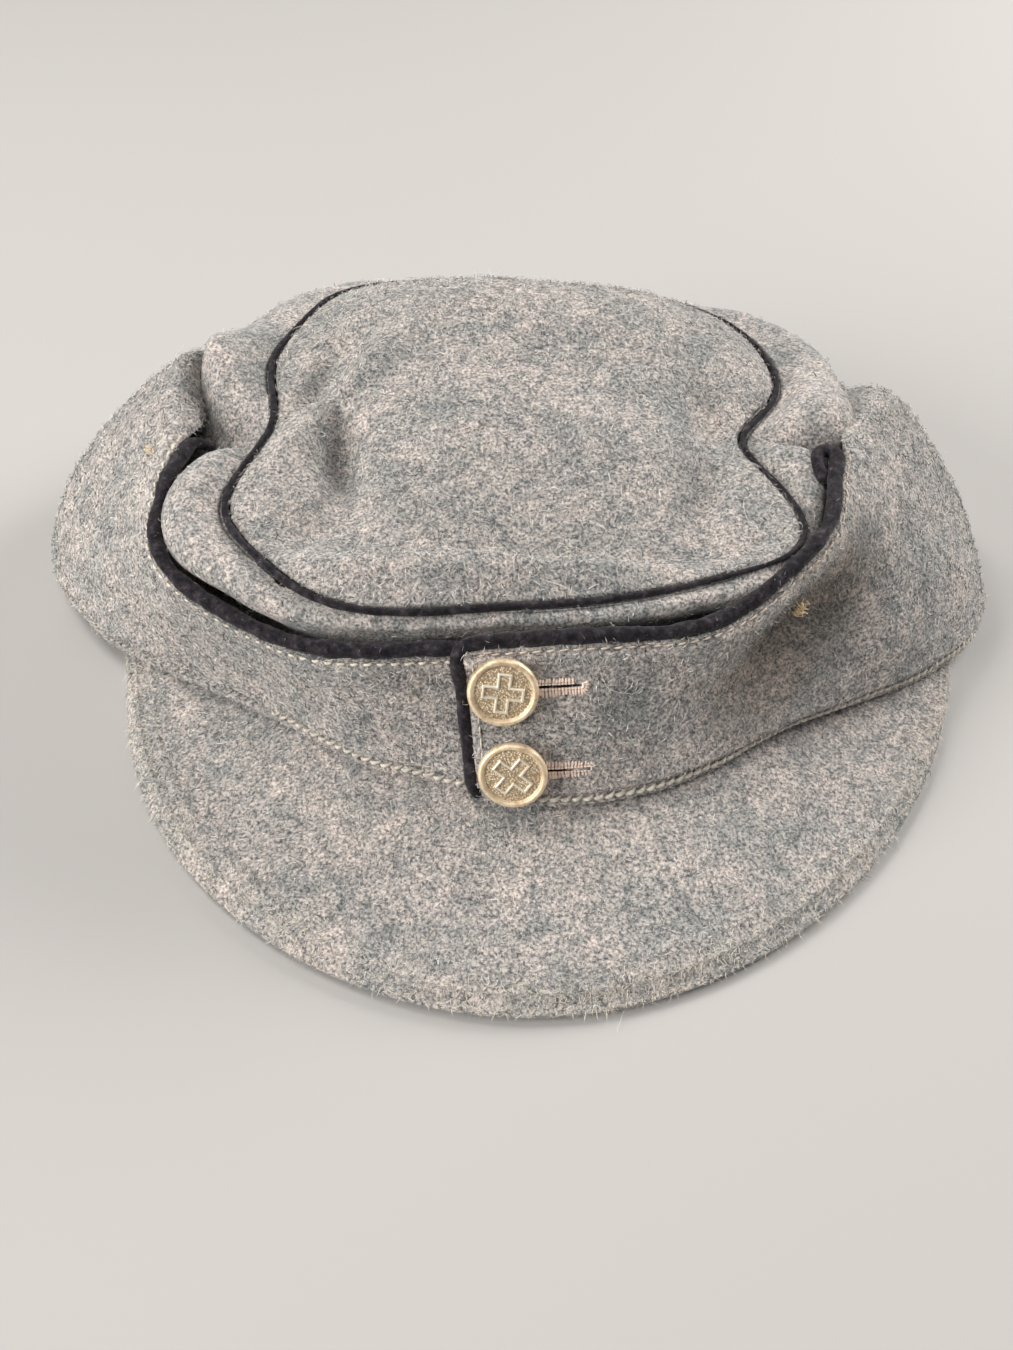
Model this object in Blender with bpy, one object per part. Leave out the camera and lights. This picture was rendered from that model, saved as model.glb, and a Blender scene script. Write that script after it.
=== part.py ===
"""Wool field cap with a turned-up band, a cloth peak and two shank buttons.

The cap rests on a flat surface, peak towards -Y. Cloth forms are rings round the middle of the cap:
each ring has a reach and a height in every direction, and the cloth runs smoothly from ring to ring.
Directions are angles in degrees from the front, positive towards +X.
"""
import math
from collections import namedtuple

import bmesh
import bpy
import numpy as np
from mathutils import Matrix, Vector

# Sizes of the cap in metres. Reaches are measured from the middle of the cap.
FOOT_WIDTH = 0.250
FOOT_FRONT = 0.0915
FOOT_BACK = 0.094
TOP_WIDTH = 0.136
TOP_FRONT = 0.066
TOP_BACK = 0.060
CROWN_HEIGHT = 0.072
TURN_UP_HEIGHT = 0.058

PEAK_FRONT = 0.134
PEAK_WIDTH = 0.228
PEAK_RISE = 0.0115
PEAK_THICKNESS = 0.0045
PEAK_TUCK = 0.0035
PEAK_SPREAD = 77.0
PEAK_END_DEPTH = 0.006

CLOTH_THICKNESS = 0.0022
BAND_THICKNESS = 0.0026
TOP_PIPING_DIAMETER = 0.0022
FLAP_PIPING_DIAMETER = 0.0036
GAP = 0.0003
LAP_GAP = 0.0006
PEAK_GAP = 0.00045
EDGE_GAP = 0.0006

BUTTON_DIAMETER = 0.015
BUTTON_THICKNESS = 0.0026
BUTTON_RIM = 0.0011
SHANK_DIAMETER = 0.0024
SHANK_STANDOFF = 0.0012
CROSS_SPAN = 0.0088
CROSS_ARM = 0.0029
CROSS_RELIEF = 0.0007
BUTTONHOLE_LENGTH = 0.017
BUTTONHOLE_WIDTH = 0.0012
EYELET_DIAMETER = 0.0034

# Mesh fineness.
ROUND_STEPS = 60
BAND_STEPS = 80
BAND_SAMPLES = 9
PEAK_STEPS = 38
TURNED_SIDES = 24
PIPING_STEP = 0.004
NORMAL_PASSES = 3

# How much lower the left end's edge lies under the lap, counted in rings.
LAP_DROP_RINGS = 0.35

# Front ends of the turn-up, in degrees: its right end at the foot and at the free edge, its left end below.
RIGHT_END_FOOT = -5.0
RIGHT_END_EDGE = -10.0
LEFT_END = 372.0
# Where the thick pipings end behind, in degrees.
RIGHT_PIPING_END = 79.0
LEFT_PIPING_END = 277.0
# Degrees between which the free edge leaves the crest and dives into the valley.
SLIT = {"right": (73.0, 99.0), "left": (69.0, 95.0)}

Row = namedtuple("Row", "name reach_front reach_side reach_back up_front up_side up_back")
Fold = namedtuple("Fold", "name rings angle spread out up")
Dent = namedtuple("Dent", "name x y spread_x spread_y lift")
Button = namedtuple("Button", "name angle place turn")

# Wall rings: reach as a share of the way from the top seam to the foot, height as a share of CROWN_HEIGHT.
WALL_ROWS = {row.name: row for row in (
    Row("contact", -0.03, 0.13, 0.26, 0.50, 0.61, 0.47),
    Row("puff", 0.10, 0.11, 0.20, 0.675, 0.71, 0.65),
    Row("seam", 0.00, 0.00, 0.00, 0.73, 0.77, 0.74),
)}
# Crest of the turn-up: reach beyond the wall as a share of the same way, height as a share of TURN_UP_HEIGHT.
CREST = Row("crest", -0.04, 0.20, 0.20, 0.865, 1.00, 0.76)
# Turn-up rings from foot to crest: share of the way out to the foot, and share of the way up to the crest.
BAND_ROWS = (
    Row("hem", 0.97, 0.985, 0.985, 0.13, 0.10, 0.14),
    Row("belly", 0.64, 0.78, 0.86, 0.45, 0.42, 0.48),
    Row("chest", 0.26, 0.36, 0.50, 0.78, 0.78, 0.80),
)
# Turn-up rings from crest to wall: share of the way out to the crest, and share of the drop already made.
VALLEY_ROWS = (
    Row("brow", 0.68, 0.68, 0.68, 0.12, 0.12, 0.12),
    Row("slope", 0.30, 0.30, 0.30, 0.75, 0.75, 0.75),
)

# Uneven places: out is a share of the ring's reach there, up a share of CROWN_HEIGHT.
FOLDS = (
    Fold("waist right", "seam", 77, 17, -0.24, 0.00),
    Fold("waist left", "seam", -82, 20, -0.11, 0.01),
    Fold("front left bulge", "seam", -33, 20, 0.11, 0.00),
    Fold("front right flat", "seam", 26, 20, -0.035, 0.00),
    Fold("front corner left", "seam", -60, 12, 0.10, 0.00),
    Fold("front corner right", "seam", 52, 11, 0.050, 0.00),
    Fold("back corner left", "seam", -116, 14, -0.06, 0.00),
    Fold("back corner right", "seam", 108, 20, -0.05, 0.00),
    Fold("left back rise", "seam puff", -125, 30, 0.00, 0.06),
    Fold("left roll", "puff", -60, 18, 0.08, 0.00),
    Fold("right roll", "puff", 36, 20, 0.02, 0.00),
    Fold("left bulge", "contact", -58, 16, 0.03, 0.00),
    Fold("left valley", "contact", -95, 22, 0.10, 0.05),
    Fold("right back puff", "puff", 116, 18, 0.05, 0.02),
    Fold("right corner drawn in", "puff crest", 52, 12, -0.028, 0.00),
    Fold("right flap near", "crest", 36, 20, -0.02, 0.00),
    Fold("right flap sag", "crest", 31, 15, 0.00, -0.068),
    Fold("left flap sag", "crest", -46, 26, 0.00, -0.135),
    Fold("left flap stands off", "crest", -60, 22, 0.02, 0.00),
    Fold("right shoulder", "crest", 98, 14, 0.02, 0.00),
    Fold("left side spread", "foot hem belly", -94, 20, 0.02, 0.00),
    Fold("right back slump", "crest", 124, 24, 0.00, -0.19),
    Fold("left back slump", "crest", -132, 26, 0.00, -0.085),
    Fold("left crest hump", "crest", -110, 12, 0.00, 0.03),
    Fold("flap hollow right", "foot", 50, 22, -0.135, 0.00),
    Fold("flap hollow left", "foot", -52, 30, -0.15, 0.00),
    Fold("peak left side", "rim", -74, 24, -0.085, 0.00),
)

# The top panel: height over its middle, and folds placed by shares of its half width and its front reach.
TOP_MIDDLE_SHARE = 0.90
DENTS = (
    Dent("valley behind the front roll", 0.00, -0.70, 0.80, 0.125, -0.19),
    Dent("rise at the back", -0.05, 0.45, 0.70, 0.30, 0.10),
    Dent("left hollow", -0.60, -0.33, 0.16, 0.20, -0.05),
)

# Buttons on the right end: direction, place up the turn-up counted in rings, and turn of the cross.
BUTTONS = (
    Button("button_upper", -3.5, 2.97, -4),
    Button("button_lower", -1.4, 1.46, -35),
)

WOOL = (0.30, 0.33, 0.34, 1.0)
PIPING = (0.012, 0.011, 0.017, 1.0)
METAL = (0.52, 0.44, 0.30, 1.0)


def between(start, end, share):
    """Value a share of the way from start to end."""
    return start + (end - start) * share


def ease(value):
    """Smooth step from 0 to 1."""
    value = min(max(value, 0.0), 1.0)
    return value * value * (3.0 - 2.0 * value)


def by_direction(front, side, back, angle):
    """Value that turns smoothly from front to side to back."""
    along = math.cos(math.radians(angle))
    end = front if along > 0.0 else back
    return side + (end - side) * along * along


def turn_between(angle, other):
    """Signed angle from other to angle, from -180 to 180."""
    return (angle - other + 180.0) % 360.0 - 180.0


def fold(ring, angle):
    """Sum of the folds on a ring in one direction: outward share and upward share."""
    out = up = 0.0
    for row in FOLDS:
        if ring in row.rings.split():
            weight = math.exp(-(turn_between(angle, row.angle) / row.spread) ** 2)
            out += row.out * weight
            up += row.up * weight
    return out, up


def oval(angle, half_width, front, back, squareness):
    """Reach of an oval with different front and back halves."""
    across = abs(math.sin(math.radians(angle))) / half_width
    along = math.cos(math.radians(angle))
    along = abs(along) / (front if along > 0.0 else back)
    return (across ** squareness + along ** squareness) ** (-1.0 / squareness)


def slant(ring, angle):
    """How much longer a gap across a ring is along the reach, where the ring runs slantwise."""
    change = math.log(ring(angle + 1.0) / ring(angle - 1.0)) / math.radians(2.0)
    return math.hypot(1.0, change)


def foot_reach(angle):
    """Reach of the foot of the turn-up."""
    squareness = by_direction(1.65, 2.0, 2.3, angle)
    return oval(angle, FOOT_WIDTH / 2, FOOT_FRONT, FOOT_BACK, squareness) * (1.0 + fold("foot", angle)[0])


def seam_reach(angle):
    """Reach of the seam round the top panel."""
    squareness = by_direction(2.8, 2.5, 2.2, angle)
    return oval(angle, TOP_WIDTH / 2, TOP_FRONT, TOP_BACK, squareness) * (1.0 + fold("seam", angle)[0])


def wall_ring(name, angle):
    """Reach and height of a ring of the crown wall."""
    row = WALL_ROWS[name]
    seam, foot = seam_reach(angle), foot_reach(angle)
    out, up = fold(name, angle)
    share = by_direction(row.reach_front, row.reach_side, row.reach_back, angle)
    height = by_direction(row.up_front, row.up_side, row.up_back, angle)
    reach = between(seam, foot, share)
    if name != "seam":
        reach *= 1.0 + out
    return reach, CROWN_HEIGHT * (height + up)


def peak_end(angle):
    """1 over the peak and 0 behind its ends."""
    return 1.0 - ease((abs(turn_between(angle, 0.0)) - PEAK_SPREAD) / 9.0)


def peak_reach(angle):
    """Root and rim reach of the peak."""
    root = foot_reach(angle) - BAND_THICKNESS - PEAK_TUCK
    rim = oval(angle, PEAK_WIDTH / 2, PEAK_FRONT, PEAK_FRONT, 1.95) * (1.0 + fold("rim", angle)[0])
    return min(root, rim - PEAK_END_DEPTH), rim


def peak_height(angle, share):
    """Height of the peak's underside, a share of the way from root to rim."""
    rise = PEAK_RISE * max(0.0, math.cos(math.radians(angle))) ** 1.6
    return rise * (1.0 - share) ** 1.15


def foot_height(angle, depth=0.0):
    """Height of the foot of the turn-up, which lies on the peak in front and on the floor behind.

    The depth is how far the foot lies inside its usual place, under the lap.
    """
    if peak_end(angle) == 0.0:
        return 0.0
    root, rim = peak_reach(angle)
    inner = foot_reach(angle) - BAND_THICKNESS - depth
    share = min(max((inner - root) / (rim - root), 0.0), 1.0)
    return (peak_height(angle, share) + PEAK_THICKNESS + GAP) * peak_end(angle)


def crest_ring(angle):
    """Reach and height of the crest of the turn-up, clear of the wall by the flap's piping."""
    out, up = fold("crest", angle)
    clear = FLAP_PIPING_DIAMETER + BAND_THICKNESS / 4 + GAP
    clear += by_direction(1.0, 0.0, 0.0, angle) * (BAND_THICKNESS + LAP_GAP)
    share = by_direction(CREST.reach_front, CREST.reach_side, CREST.reach_back, angle)
    reach = wall_ring("puff", angle)[0] + clear + share * (foot_reach(angle) - seam_reach(angle))
    height = by_direction(CREST.up_front, CREST.up_side, CREST.up_back, angle)
    return reach * (1.0 + out), TURN_UP_HEIGHT * height + CROWN_HEIGHT * up


def band_rings(angle):
    """Rings of the turn-up's outer face as (reach, height), from the foot over the crest to the wall."""
    foot = (foot_reach(angle), foot_height(angle))
    crest = crest_ring(angle)
    low, contact = wall_rings(angle)[1:3]
    lean = (low[0] - contact[0]) / (contact[1] - low[1])
    contact = (contact[0] + GAP + lean * BAND_THICKNESS, contact[1])
    rings = [foot]
    for row in BAND_ROWS:
        out, up = fold(row.name, angle)
        share = by_direction(row.reach_front, row.reach_side, row.reach_back, angle)
        rise = by_direction(row.up_front, row.up_side, row.up_back, angle)
        reach = between(crest[0], foot[0], share) * (1.0 + out)
        rings.append((reach, between(foot[1], crest[1], rise) + CROWN_HEIGHT * up))
    rings.append(crest)
    for row in VALLEY_ROWS:
        share = by_direction(row.reach_front, row.reach_side, row.reach_back, angle)
        drop = by_direction(row.up_front, row.up_side, row.up_back, angle)
        rings.append((between(contact[0], crest[0], share), between(crest[1], contact[1], drop)))
    rings.append(contact)
    return rings


def unit(vectors):
    """Vectors made one long."""
    return vectors / np.linalg.norm(vectors, axis=-1, keepdims=True)


def run_through(points, place):
    """Point on a smooth curve through the points, at a place counted in points.

    The slopes follow the spacing of the points, so a short stretch beside a long one doesn't overshoot.
    """
    last = len(points) - 1
    index = min(int(place), last - 1)
    t = place - index
    p1, p2 = np.array(points[index]), np.array(points[index + 1])
    p0 = np.array(points[index - 1]) if index > 0 else 2 * p1 - p2
    p3 = np.array(points[index + 2]) if index + 2 <= last else 2 * p2 - p1
    here = math.dist(p1, p2)
    slope1 = (p2 - p0) * here / (math.dist(p0, p1) + here)
    slope2 = (p3 - p1) * here / (here + math.dist(p2, p3))
    return ((2 * t ** 3 - 3 * t ** 2 + 1) * p1 + (t ** 3 - 2 * t ** 2 + t) * slope1
            + (3 * t ** 2 - 2 * t ** 3) * p2 + (t ** 3 - t ** 2) * slope2)


def in_direction(angle, reach, height):
    """Point in space at a reach and height in one direction."""
    turn = math.radians(angle)
    return np.array((reach * math.sin(turn), -reach * math.cos(turn), height))


def band_point(angle, place):
    """Point on the outer face of the turn-up."""
    reach, height = run_through(band_rings(angle), place)
    return in_direction(angle, reach, height)


CREST_PLACE = 1.0 + len(BAND_ROWS)
WALL_PLACE = CREST_PLACE + len(VALLEY_ROWS) + 1.0


def edge_place(angle):
    """Place along the turn-up where its cloth ends: the crest in front, the wall behind the slit."""
    side = "right" if turn_between(angle, 0.0) > 0.0 else "left"
    start, end = SLIT[side]
    share = ease((abs(turn_between(angle, 0.0)) - start) / (end - start))
    return between(CREST_PLACE, WALL_PLACE, share)


def under_lap(angle):
    """How far the left end of the turn-up lies under the right end, as a share of its own depth."""
    return ease((angle - LEFT_END + 38.0) / 16.0)


def band_normal(angle, place):
    """Unit normal of the outer face of the turn-up."""
    step = 0.5
    along = band_point(angle + step, place) - band_point(angle - step, place)
    rise = band_point(angle, place + 0.1) - band_point(angle, place - 0.1)
    return unit(np.cross(along, rise))


def face_normals(grid, around):
    """Unit normals of a grid of points, stations by samples, pointing away from the cap's cloth.

    They are evened out along the samples, so that the inner face doesn't cross itself in a tight fold.
    """
    if around:
        along = np.roll(grid, -1, axis=0) - np.roll(grid, 1, axis=0)
    else:
        along = np.gradient(grid, axis=0)
    up = np.gradient(grid, axis=1)
    normals = unit(np.cross(along, up))
    for _ in range(NORMAL_PASSES):
        wide = np.concatenate((normals[:, :1], normals, normals[:, -1:]), axis=1)
        normals = (wide[:, :-2] + 2 * wide[:, 1:-1] + wide[:, 2:]) / 4
    return unit(normals)


def level_hem(outer, inner):
    """Keep the lower edge of a cloth level, so that it lies flat."""
    inner[:, 0, 2] = outer[:, 0, 2]
    return inner


def slant_edge(outer, inner, sample):
    """Slant a cloth's edge at the top seam, so that the two cloths of the seam stay apart."""
    outward = unit(outer[:, sample] * (1.0, 1.0, 0.0))
    inner[:, sample] = outer[:, sample] - 0.8 * CLOTH_THICKNESS * (outward + (0.0, 0.0, 1.0))
    return inner


def material(name, colour, roughness, metallic=0.0):
    """Plain Principled material."""
    made = bpy.data.materials.new(name)
    made.use_nodes = True
    shader = made.node_tree.nodes["Principled BSDF"]
    shader.inputs["Base Color"].default_value = colour
    shader.inputs["Roughness"].default_value = roughness
    shader.inputs["Metallic"].default_value = metallic
    return made


def new_object(name, data, look, parent):
    """Object for a mesh or curve, under the cap's empty."""
    made = bpy.data.objects.new(name, data)
    data.materials.append(look)
    made.parent = parent
    bpy.context.scene.collection.objects.link(made)
    return made


def mesh_object(name, points, faces, look, parent):
    """Closed mesh object with flat faces pointing out, so that a Boolean leaves no slivers."""
    mesh = bpy.data.meshes.new(name)
    mesh.from_pydata([tuple(point) for point in points], [], faces)
    work = bmesh.new()
    work.from_mesh(mesh)
    bmesh.ops.recalc_face_normals(work, faces=work.faces)
    bmesh.ops.triangulate(work, faces=work.faces)
    work.to_mesh(mesh)
    work.free()
    mesh.shade_smooth()
    mesh.set_sharp_from_angle(angle=math.radians(50))
    return new_object(name, mesh, look, parent)


def cloth_solid(name, outer, inner, around, look, parent, middle=None):
    """Solid between two grids of points, stations by samples.

    With middle, the last samples close round two middle points, outer and inner.
    """
    stations, samples = outer.shape[:2]
    points = list(outer.reshape(-1, 3)) + list(inner.reshape(-1, 3))
    below = stations * samples

    def at(station, sample, layer=0):
        return layer * below + (station % stations) * samples + sample

    faces = []
    for j in range(stations if around else stations - 1):
        for i in range(samples - 1):
            faces.append((at(j, i), at(j + 1, i), at(j + 1, i + 1), at(j, i + 1)))
            faces.append((at(j, i, 1), at(j, i + 1, 1), at(j + 1, i + 1, 1), at(j + 1, i, 1)))
        faces.append((at(j, 0), at(j, 0, 1), at(j + 1, 0, 1), at(j + 1, 0)))
        end = samples - 1
        if middle is None:
            faces.append((at(j, end), at(j + 1, end), at(j + 1, end, 1), at(j, end, 1)))
        else:
            faces.append((at(j, end), at(j + 1, end), 2 * below))
            faces.append((at(j, end, 1), 2 * below + 1, at(j + 1, end, 1)))
    if not around:
        for j in (0, stations - 1):
            for i in range(samples - 1):
                faces.append((at(j, i), at(j, i + 1), at(j, i + 1, 1), at(j, i, 1)))
    if middle is not None:
        points.extend(middle)
    return mesh_object(name, points, faces, look, parent)


def cord_object(name, path, diameter, closed, look, parent):
    """Round cord along a path of points."""
    curve = bpy.data.curves.new(name, "CURVE")
    curve.dimensions = "3D"
    curve.bevel_depth = diameter / 2
    curve.bevel_resolution = 1
    curve.use_fill_caps = True
    spline = curve.splines.new("POLY")
    spline.points.add(len(path) - 1)
    for point, place in zip(spline.points, path):
        point.co = (*place, 1.0)
    spline.use_cyclic_u = closed
    return new_object(name, curve, look, parent)


def seam_side(angle, share):
    """Point beside the top seam: share 1 is where the wall ends, share -1 where the top panel starts."""
    reach, height = wall_ring("seam", angle)
    below = wall_ring("puff", angle)
    slope = np.array((below[0] - reach, below[1] - height))
    slope /= np.linalg.norm(slope)
    clear = (TOP_PIPING_DIAMETER / 2 + GAP) * slant(seam_reach, angle)
    if share < 0.0:
        return reach - clear, height + 0.1 * clear
    return reach + slope[0] * clear, height + slope[1] * clear


def wall_rings(angle):
    """Rings of the crown wall's outer face, from its foot to the top seam."""
    foot = (peak_reach(angle)[0] - PEAK_GAP * slant(foot_reach, angle), peak_height(angle, 0.0) * peak_end(angle))
    contact = wall_ring("contact", angle)
    puff = wall_ring("puff", angle)
    low = (between(foot[0], contact[0], 0.42), between(foot[1], contact[1], 0.42))
    return [foot, low, contact, puff, seam_side(angle, 1.0)]


def make_crown_wall(look, parent):
    """Side wall of the crown, from the rim round the head up to the top seam."""
    angles = [360.0 * j / ROUND_STEPS for j in range(ROUND_STEPS)]
    places = (0.0, 0.6, 1.2, 1.7, 2.1, 2.5, 2.9, 4.0)
    grid = []
    for angle in angles:
        rings = wall_rings(angle)
        grid.append([in_direction(angle, *run_through(rings, place)) for place in places])
    outer = np.array(grid)
    inner = level_hem(outer, outer - face_normals(outer, True) * CLOTH_THICKNESS)
    inner = slant_edge(outer, inner, -1)
    return cloth_solid("crown_wall", outer, inner, True, look, parent)


def top_height(x, y, angle, share):
    """Height of the top panel's outer face at a share of the way out to its rim."""
    rim = seam_side(angle, -1.0)[1]
    height = between(CROWN_HEIGHT * TOP_MIDDLE_SHARE, rim, share ** 3)
    for row in DENTS:
        along_x = (x / (TOP_WIDTH / 2) - row.x) / row.spread_x
        along_y = (y / TOP_FRONT - row.y) / row.spread_y
        height += CROWN_HEIGHT * row.lift * math.exp(-along_x ** 2 - along_y ** 2) * (1.0 - share ** 12)
    return height


def top_point(angle, share):
    """Point on the top panel's outer face."""
    reach = seam_side(angle, -1.0)[0] * share
    flat = in_direction(angle, reach, 0.0)
    return np.array((flat[0], flat[1], top_height(flat[0], flat[1], angle, share)))


def make_top_panel(look, parent):
    """Cloth panel on top of the crown."""
    shares = (1.0, 0.95, 0.88, 0.80, 0.71, 0.60, 0.46, 0.30, 0.15)
    angles = [360.0 * j / ROUND_STEPS for j in range(ROUND_STEPS)]
    outer = np.array([[top_point(angle, share) for share in shares] for angle in angles])
    inner = slant_edge(outer, outer - face_normals(outer, True) * CLOTH_THICKNESS, 0)
    middle = top_point(0.0, 0.0)
    below = middle - np.array((0.0, 0.0, CLOTH_THICKNESS))
    return cloth_solid("top_panel", outer, inner, True, look, parent, (middle, below))


def make_top_piping(look, parent):
    """Thin piping in the seam between the wall and the top panel."""
    angles = [360.0 * j / ROUND_STEPS for j in range(ROUND_STEPS)]
    path = [in_direction(angle, *wall_ring("seam", angle)) for angle in angles]
    return cord_object("top_piping", path, TOP_PIPING_DIAMETER, True, look, parent)


def band_angle(step, rise):
    """Direction of a station of the turn-up: its right end slants with the rise."""
    start = between(RIGHT_END_FOOT, RIGHT_END_EDGE, rise)
    return between(start, LEFT_END, step)


def sample_place(sample, end):
    """Place of a sample up the turn-up: even up to the chest, then even from there to the cloth's end."""
    chest = CREST_PLACE - 1.0
    below = BAND_SAMPLES // 2
    if sample <= below:
        return chest * sample / below
    return between(chest, end, (sample - below) / (BAND_SAMPLES - below))


def band_steps():
    """Shares along the turn-up, closer together where the slits end."""
    fine = np.linspace(0.0, 1.0, 2001)
    angles = between(RIGHT_END_EDGE, LEFT_END, fine)
    ends = (sum(SLIT["right"]) / 2 + 6.0, 360.0 - sum(SLIT["left"]) / 2 - 6.0)
    weight = 1.0 + 2.0 * sum(np.exp(-((angles - end) / 16.0) ** 2) for end in ends)
    grown = np.concatenate(([0.0], np.cumsum((weight[1:] + weight[:-1]) / 2)))
    return np.interp(np.linspace(0.0, grown[-1], BAND_STEPS + 1), grown, fine)


def band_grid():
    """Outer and inner face of the turn-up, stations by samples."""
    grid, laps, feet = [], [], []
    for step in band_steps():
        row = []
        lap = under_lap(band_angle(step, 0.5))
        depth = lap * (BAND_THICKNESS + LAP_GAP)
        feet.append(foot_height(band_angle(step, 0.0), depth))
        for i in range(BAND_SAMPLES + 1):
            end = edge_place(band_angle(step, 1.0)) - LAP_DROP_RINGS * lap
            place = sample_place(i, end)
            row.append(band_point(band_angle(step, place / end), place))
        grid.append(row)
        laps.append(depth)
    face = np.array(grid)
    normals = face_normals(face, False)
    outer = face - normals * np.array(laps)[:, None, None]
    inner = outer - normals * BAND_THICKNESS
    outer[:, 0, 2] = inner[:, 0, 2] = feet
    return outer, inner, normals


def on_band(button, along, rise, depth):
    """Point near a button: metres along the band, metres up the band and metres out from its face."""
    place = button.place
    here = band_point(button.angle, place)
    sideways = math.degrees(along / here_reach(here))
    slope = np.linalg.norm(band_point(button.angle, place + 0.1) - band_point(button.angle, place - 0.1)) / 0.2
    angle, place = button.angle + sideways, place + rise / slope
    return band_point(angle, place) + band_normal(angle, place) * depth


def here_reach(point):
    """Reach of a point from the middle of the cap."""
    return math.hypot(point[0], point[1])


def make_buttonhole_cutter(button, look, parent):
    """Keyhole slot through the right end of the turn-up, but not through the left end under it."""
    eyelet = EYELET_DIAMETER / 2
    slit = BUTTONHOLE_WIDTH / 2
    places = [eyelet * share for share in (-0.98, -0.7, -0.3, 0.3, 0.7)]
    neck = math.sqrt(eyelet ** 2 - slit ** 2)
    places += [between(neck, BUTTONHOLE_LENGTH, share) for share in (0.0, 0.25, 0.5, 0.75, 1.0)]
    outer, inner = [], []
    for along in places:
        half = max(slit if along > 0.0 else 0.0, math.sqrt(max(eyelet ** 2 - along ** 2, 0.0)))
        outer.append([on_band(button, along, rise, BAND_THICKNESS) for rise in (-half, half)])
        inner.append([on_band(button, along, rise, -BAND_THICKNESS - LAP_GAP / 2) for rise in (-half, half)])
    cutter = cloth_solid("cut_" + button.name, np.array(outer), np.array(inner), False, look, parent)
    cutter.hide_render = True
    cutter.display_type = "WIRE"
    return cutter


def make_turn_up(look, parent):
    """Band turned up round the wall, lapped in front, with two buttonholes."""
    outer, inner, _ = band_grid()
    band = cloth_solid("turn_up", outer, inner, False, look, parent)
    for button in BUTTONS:
        cut = band.modifiers.new("buttonhole " + button.name, "BOOLEAN")
        cut.operation = "DIFFERENCE"
        cut.solver = "EXACT"
        cut.object = make_buttonhole_cutter(button, look, parent)
    return band


def edge_line(outer, inner):
    """Middle line of a piping seated on the free edge of the turn-up."""
    tips = (outer[:, -1] + inner[:, -1]) / 2
    beyond = np.cross(outer[:, -1] - inner[:, -1], np.gradient(tips, axis=0))
    return tips + unit(beyond) * (FLAP_PIPING_DIAMETER / 2 + EDGE_GAP)


def room_to_wall(point):
    """Distance from a point to the crown wall's outer face."""
    angle = math.degrees(math.atan2(point[0], -point[1]))
    rings = wall_rings(angle)
    wall = [run_through(rings, 4.0 * i / 40) for i in range(41)]
    spot = np.array((here_reach(point), point[2]))
    return min(np.linalg.norm(spot - place) for place in wall)


def smooth_line(points, step):
    """Evenly spaced points along a smooth curve through the points."""
    fine = np.array([run_through(points, place) for place in np.linspace(0, len(points) - 1, 12 * len(points))])
    lengths = np.concatenate(([0.0], np.cumsum(np.linalg.norm(np.diff(fine, axis=0), axis=1))))
    count = max(2, round(lengths[-1] / step))
    places = np.linspace(0.0, lengths[-1], count + 1)
    return np.stack([np.interp(places, lengths, fine[:, k]) for k in range(3)], axis=1)


def make_pipings(look, parent):
    """Thick pipings: the left one ends at the lap, the right one turns down the lapped end."""
    outer, inner, normals = band_grid()
    radius = FLAP_PIPING_DIAMETER / 2
    clear = radius + EDGE_GAP
    angles = [band_angle(step, 1.0) for step in band_steps()]
    line = edge_line(outer, inner)
    free = [room_to_wall(point) > clear for point in line]
    right = [j for j, angle in enumerate(angles) if j > 0 and angle < RIGHT_PIPING_END]
    right = [j for j in right if all(free[1:j + 1])]
    left_limit = 360.0 + RIGHT_END_EDGE - math.degrees(2.6 * clear / crest_ring(0.0)[0])
    left = [j for j, angle in enumerate(angles) if LEFT_PIPING_END < angle < left_limit]
    left = [j for j in left if all(free[j:left[-1] + 1])]
    left_line = smooth_line([line[j] for j in left], PIPING_STEP)
    cord_object("flap_piping_left", left_line, FLAP_PIPING_DIAMETER, False, look, parent)

    away = unit(outer[0] - outer[1])
    down = outer[0] - normals[0] * (BAND_THICKNESS - radius) + away * clear
    down[0] = between(down[0], down[1], 0.25)
    corner = line[1] + away[-1] * (clear * 0.7 + np.linalg.norm(outer[1, -1] - outer[0, -1]))
    points = [line[j] for j in reversed(right)] + [corner] + list(down[-2::-1])
    cord_object("flap_piping_right", smooth_line(points, PIPING_STEP), FLAP_PIPING_DIAMETER, False, look, parent)


def make_turned(name, profile, look, parent):
    """Turned solid round local +Z from (radius, height) points; it starts and ends on the axis."""
    points = [(0.0, 0.0, profile[0][1])]
    faces = []
    for radius, height in profile[1:-1]:
        for side in range(TURNED_SIDES):
            turn = 2.0 * math.pi * side / TURNED_SIDES
            points.append((radius * math.cos(turn), radius * math.sin(turn), height))
    points.append((0.0, 0.0, profile[-1][1]))
    rings = len(profile) - 2
    for side in range(TURNED_SIDES):
        following = (side + 1) % TURNED_SIDES
        faces.append((0, 1 + following, 1 + side))
        for ring in range(rings - 1):
            first = 1 + ring * TURNED_SIDES
            second = first + TURNED_SIDES
            faces.append((first + side, first + following, second + following, second + side))
        last = 1 + (rings - 1) * TURNED_SIDES
        faces.append((last + side, last + following, len(points) - 1))
    return mesh_object(name, points, faces, look, parent)


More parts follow.
